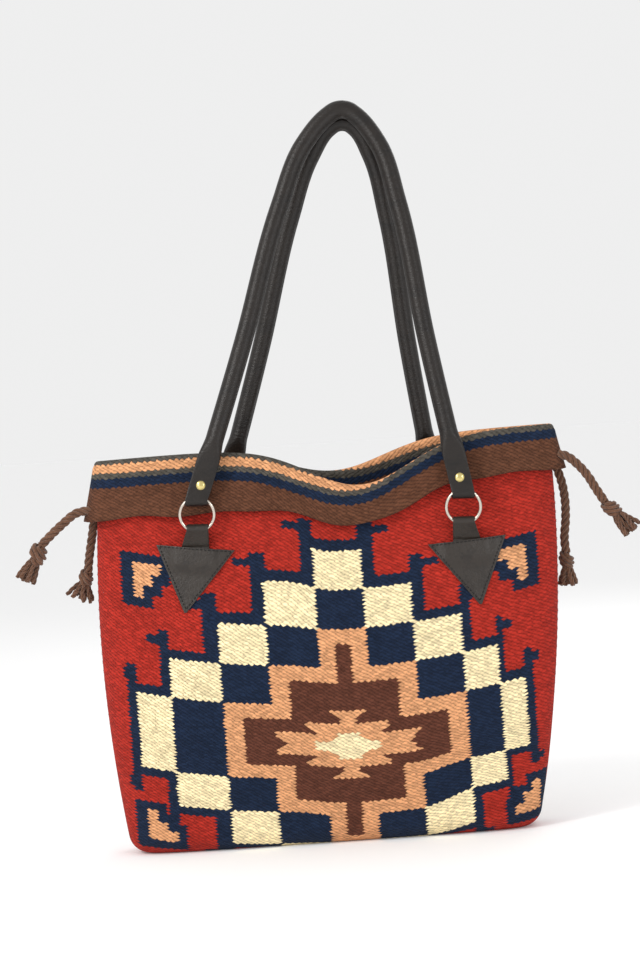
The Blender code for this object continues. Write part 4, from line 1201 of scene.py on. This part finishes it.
class ToteCloth(bpy.types.Operator):
    """Weave the bag's sheet, folded under its base and out over its cuff"""

    bl_idname = "tote.cloth"
    bl_label = "Woven sheet"

    def execute(self, context):
        cloth = context.scene.tote_cloth
        shares = np.arange(cloth.columns) / cloth.columns
        from_seam = shares**1.4
        to_seam = 2 - (1 - shares) ** 1.4
        turns = np.concatenate([from_seam, to_seam, from_seam + 2, to_seam + 2])
        rows, hubs, first_fold = self.rows(turns)
        count, wide = rows.shape[:2]
        faces = grid_faces(count, wide, around=True)
        uv = self.places(rows, turns, hubs, first_fold)
        hub = rows[0].mean(axis=0)
        k = np.arange(wide)
        spokes = np.stack([np.full(wide, count * wide), (k + 1) % wide, k], axis=1)
        vertices = np.vstack([rows.reshape(-1, 3), hub])
        spoke_uv = np.zeros((wide, 3, 2))
        spoke_uv[..., 1] = uv[:wide, :1, 1]
        corners = [*faces.tolist(), *spokes.tolist()]
        sheet = make_mesh("woven_sheet", vertices, corners, np.vstack([uv.reshape(-1, 2), spoke_uv.reshape(-1, 2)]))
        face_outward(sheet)
        thicken(sheet, CLOTH)
        finish_piece(sheet, "bag", wool_finish(cloth), ["wool_shell"])
        return {"FINISHED"}

    def rows(self, turns):
        """The sheet's middle surface from the base's middle up, over the fold and down."""
        angles = np.linspace(0.0, math.pi / 2, 9)[:, None]
        edge = base_point(turns, angles)
        middle = np.array([BASE_MIDDLE_X, 0.0, CLOTH / 2])
        hubs = np.linspace(0.06, 1.0, 8)[:-1]
        base = middle + (edge[0] - middle) * hubs[:, None, None]
        lowest = BASE_EDGE_RADIUS / HEIGHT
        radius = (CLOTH + CUFF_GAP) / 2
        below = CLOTH / 2 + radius
        x, _, _, _, front = cloth_section(turns, 1.0)
        highest = 1 - (below + WALL_SHORT) / fold_height(x, front)
        wall = cloth_point(turns, lowest + (highest - lowest) * np.linspace(0.0, 1.0, 71)[1:, None], CLOTH / 2)
        bend = np.linspace(0.0, math.pi, 12)[:, None]
        stand_off = CLOTH + CUFF_GAP / 2 - radius * np.cos(bend)
        drop = below - radius * np.sin(bend)
        fold = cloth_point(turns, np.ones_like(bend), stand_off, drop)
        first = (below + CUFF_START) / cuff_width(x, front)
        cuff = cuff_point(turns, first + (1 - first) * np.linspace(0.0, 1.0, 19)[:, None])
        return np.vstack([base, edge, wall, fold, cuff]), hubs, len(base) + len(edge) + len(wall)

    def places(self, rows, turns, hubs, first_fold):
        """Where each face corner lies on the flat sheet, in millimetres.

        Across is measured along the cloth from the figure's middle. Up is the
        height above the figure's middle, less a rise of the rows that grows with
        the square of the distance, and near the fold it is the distance past it.
        The hand-woven rows rise more on the left above and on the right below.
        """
        count, wide = rows.shape[:2]
        around = np.concatenate([rows, rows[:, :1]], axis=1)
        run = np.linalg.norm(np.diff(around[..., :2], axis=1), axis=-1).cumsum(axis=1)
        run = np.concatenate([np.zeros((count, 1)), run], axis=1)
        quarter = wide // 4
        front = run - run[:, 3 * quarter, None] + rows[:, 3 * quarter, None, 0] - FIGURE_X
        back = run[:, quarter, None] - run + rows[:, quarter, None, 0] - FIGURE_X
        wall = len(hubs)
        for u in (front, back):
            u[:wall] = u[wall] * hubs[:, None]
        steps = np.linalg.norm(np.diff(around, axis=0), axis=-1)
        down = np.concatenate([np.zeros((1, wide + 1)), steps.cumsum(axis=0)])
        edge = wall + 8
        height = np.where(np.arange(count)[:, None] < edge, around[edge, :, 2] - down[edge] + down, around[..., 2])
        top = first_fold + 5
        past = down - (down[top] + down[top + 1]) / 2
        lift = -8 + 12 * smooth_step((around[..., 0] + 40) / 120)
        places = []
        for u in (front, back):
            rise = 16 * (u / 170) ** 2 + 5 * smooth_step(-u / 60)
            rise += 6 * smooth_step(-u / 50) * smooth_step((height - 200) / 40) * smooth_step((150 + u) / 60)
            rise += 11 * smooth_step((u - 60) / 60) * smooth_step((110 - height) / 60)
            figure = height - FIGURE_Z - rise
            figure = figure * np.where(figure > 0, ROWS_ABOVE, ROWS_BELOW)
            places.append((np.stack([u, figure], axis=-1), np.stack([u, STRIPE_SHEET - past - lift], axis=-1)))
        striped = past[: count - 1].mean(axis=1) > -STRIPES_FROM_FOLD
        is_front = (turns[:wide] >= 2)[None, :, None, None]
        (front_figure, front_stripe), (back_figure, back_stripe) = places
        figure = np.where(is_front, corner_places(front_figure), corner_places(back_figure))
        stripe = np.where(is_front, corner_places(front_stripe), corner_places(back_stripe))
        return np.where(striped[:, None, None, None], stripe, figure).reshape(-1, 4, 2)


class ToteSeams(bpy.types.Operator):
    """Sew up the bag's two sides with slanting wool stitches"""

    bl_idname = "tote.seams"
    bl_label = "Side seams"

    def execute(self, context):
        yarn = yarn_finish("sewing wool", "#9A2A20", "#5A1712")
        parts = []
        for turn in (0.0, 2.0):
            levels = np.arange(0.06, 0.83, 0.0225)
            for level in levels:
                offsets = np.linspace(-0.011, 0.011, 9)
                rise = np.linspace(-0.006, 0.006, 9)
                arch = 0.5 * np.cos(np.linspace(-1.5, 1.5, 9)) - 0.5
                line = cloth_point((turn + offsets) % 4, level + rise, CLOTH + arch)
                parts.append(tube_mesh(plied_rows(line, 0.8, 2, 5.0, 10)))
        seams = make_mesh("side_seam_stitches", *joined(parts))
        finish_piece(seams, "bag", yarn, ())
        return {"FINISHED"}


class TotePatches(bpy.types.Operator):
    """Cut, fold and sew on the leather tabs and patches"""

    bl_idname = "tote.patches"
    bl_label = "Tabs and patches"

    def execute(self, context):
        stitching = context.scene.tote_leather
        leather = leather_finish("dark cowhide patches", "#17120F", "#2D2722", (1.0, 1.0, 1.0))
        # Waxed linen thread, dull and nearly black
        thread = new_finish("waxed thread", {"Base Color": linear("#0C0908"), "Roughness": 0.6})[0]
        down = np.linspace(0.0, 1.0, 41)[:, None]
        across = np.linspace(-0.5, 0.5, 45) * (PATCH_WIDTH + (PATCH_TIP - PATCH_WIDTH) * down)
        for side in SIDES:
            for end, sign in ENDS:
                kinds = (
                    ("tab", tab_surface(side, sign), TAB_LEATHER, 0.25),
                    ("patch", patch_point(side, sign, across, down + 0 * across), PATCH_LEATHER, 0.4),
                )
                for kind, rows, thickness, rounded in kinds:
                    faces = grid_faces(*rows.shape[:2])
                    sheet = make_mesh(f"{side}_leather_{kind}_{end}", rows.reshape(-1, 3), faces)
                    face_outward(sheet, side)
                    thicken(sheet, thickness)
                    finish_piece(sheet, "bag", leather, [f"{side}_{kind}_{end}"], rounded)
                stitches = make_mesh(f"{side}_patch_stitches_{end}", *self.stitches(side, sign, stitching))
                finish_piece(stitches, "bag", thread, ())
        return {"FINISHED"}

    def stitches(self, side, sign, stitching):
        """Short bars of thread along the three edges, sunk half-way into the leather."""
        inset = stitching.stitch_inset
        half, tall = PATCH_WIDTH / 2, PATCH_HEIGHT
        lean = inset * math.hypot(half, tall) / tall
        corners = np.array([(-half + lean + inset, inset), (half - lean - inset, inset), (0.0, tall - lean * 2.2)])
        parts = []
        for start, finish in zip(corners, np.roll(corners, -1, axis=0)):
            count = int(np.linalg.norm(finish - start) // stitching.stitch_pitch)
            for k in range(count):
                t = (k + np.linspace(0.22, 0.78, 5)) / count
                spot = start + (finish - start) * t[:, None]
                lift = PATCH_LEATHER / 2 + 0.05 + 0.25 * np.cos(np.linspace(-1.3, 1.3, 5))
                line = patch_point(side, sign, spot[:, 0], spot[:, 1] / tall, lift)
                rows = plied_rows(line, stitching.stitch_thread / 2, 2, 4.0, 8)
                parts.append(tube_mesh(rows))
        return joined(parts)


class ToteHandles(bpy.types.Operator):
    """Roll the two leather handles and fold their ends through the rings"""

    bl_idname = "tote.handles"
    bl_label = "Rolled handles"

    def execute(self, context):
        leather = leather_finish("dark rolled cowhide", "#080504", "#1A1410", (0.7, 0.7, 1.8))
        core = yarn_finish("cotton rope", "#C9BBA2", "#8E8068")
        for side in SIDES:
            cover = make_mesh(f"{side}_rolled_leather", *tube_mesh(handle_surface(side)))
            face_outward(cover)
            finish_piece(cover, f"{side}_handle", leather, [f"{side}_handle_cover"])
            node = frame["nodes"][f"{side}_handle_core"]
            for place in node.material_slots:
                place.material = core
        return {"FINISHED"}


class ToteMetal(bpy.types.Operator):
    """Make the rings and set the rivets"""

    bl_idname = "tote.metal"
    bl_label = "Rings and rivets"

    def execute(self, context):
        nickel = metal_finish("nickel plate", "#C4BAAF", 0.2, 0.12)
        brass = metal_finish("polished brass", "#D8C684", 0.24, 0.12)
        for side in SIDES:
            for end, sign in ENDS:
                ring = make_mesh(f"{side}_wire_ring_{end}", *tube_mesh(self.wire(side, sign), closed=True))
                face_outward(ring)
                finish_piece(ring, f"{side}_ring_{end}", nickel, [f"{side}_ring_{end}"])
                rivet = make_mesh(f"{side}_domed_rivet_{end}", *tube_mesh(self.rivet(side, sign)))
                face_outward(rivet)
                rivet.data.set_sharp_from_angle(angle=math.radians(45))
                finish_piece(rivet, f"{side}_handle", brass, [f"{side}_rivet_{end}"])
        return {"FINISHED"}

    def wire(self, side, sign):
        """A torus: a circle of the wire's radius carried round the ring's, leaning out at its top."""
        upward = np.array([0.0, math.sin(RING_LEAN), math.cos(RING_LEAN)])
        beside = np.array([1.0, 0.0, 0.0])
        square = np.cross(beside, upward)
        angle = np.linspace(0.0, 2 * math.pi, 97)[:-1, None]
        away = np.cos(angle) * beside + np.sin(angle) * upward
        turn = np.linspace(0.0, 2 * math.pi, 21)[:-1]
        reach = RING_RADIUS + RING_WIRE / 2 * np.cos(turn)[None, :, None]
        rows = reach * away[:, None] + RING_WIRE / 2 * np.sin(turn)[None, :, None] * square
        return placed(rows + (sign * SPAN[side] / 2, RING_OUT, 0.0), side)

    def rivet(self, side, sign):
        """A turned profile: a dome h = d cos(t), r = R sin(t) over a thin rim, a shank and a tail."""
        face = STRAP_STACK / 2 + GAP
        angle = np.linspace(0.04, math.pi / 2, 10)
        dome = np.stack([RIVET_HEAD / 2 * 0.93 * np.sin(angle), face + 0.18 + (RIVET_DOME - 0.18) * np.cos(angle)])
        lower = (
            (RIVET_HEAD / 2, face + 0.14),
            (RIVET_HEAD / 2, face),
            (RIVET_SHANK / 2, face),
            (RIVET_SHANK / 2, -face),
            (RIVET_TAIL / 2, -face),
            (RIVET_TAIL / 2 * 0.8, -face - RIVET_TAIL_HEIGHT),
        )
        radius, height = np.vstack([dome.T, lower]).T
        line = handle_line(side)
        spot = RIVET_UP if sign < 0 else distances(line)[-1] - RIVET_UP
        centre, across, thick = (part[0] for part in on_line(line, np.array([spot])))
        across = unit(across - thick * (across @ thick))
        other = np.cross(thick, across)
        angle = np.linspace(0.0, 2 * math.pi, 41)[:-1]
        circle = np.cos(angle)[:, None] * across + np.sin(angle)[:, None] * other
        rows = centre + radius[:, None, None] * circle + height[:, None, None] * thick
        return placed(rows, side)


class TotePanel(bpy.types.Panel):
    """The bag's pieces, in the order in which they are made"""

    bl_idname = "VIEW3D_PT_tote_bag"
    bl_label = "Tote Bag"
    bl_space_type = "VIEW_3D"
    bl_region_type = "UI"
    bl_category = "Tote Bag"

    def draw(self, context):
        for name in SETTINGS:
            box = self.layout.box()
            group = getattr(context.scene, name)
            for setting in group.__annotations__:
                box.prop(group, setting)
        for operator in OPERATORS:
            self.layout.operator(operator.bl_idname)


SETTINGS = {
    "tote_cloth": ToteClothSettings,
    "tote_leather": ToteLeatherSettings,
    "tote_cords": ToteCordSettings,
    "tote_stage": ToteStageSettings,
}
OPERATORS = (ToteStage, ToteCords, ToteCloth, ToteSeams, TotePatches, ToteHandles, ToteMetal)
CLASSES = (*SETTINGS.values(), *OPERATORS, TotePanel)


def register():
    for made in CLASSES:
        bpy.utils.register_class(made)
    for name, group in SETTINGS.items():
        setattr(bpy.types.Scene, name, bpy.props.PointerProperty(type=group))


def unregister():
    for name in SETTINGS:
        delattr(bpy.types.Scene, name)
    for made in reversed(CLASSES):
        bpy.utils.unregister_class(made)


def main():
    register()
    bpy.ops.tote.stage()
    bpy.ops.tote.cords()
    bpy.ops.tote.cloth()
    bpy.ops.tote.seams()
    bpy.ops.tote.patches()
    bpy.ops.tote.handles()
    bpy.ops.tote.metal()


if __name__ == "__main__":
    main()
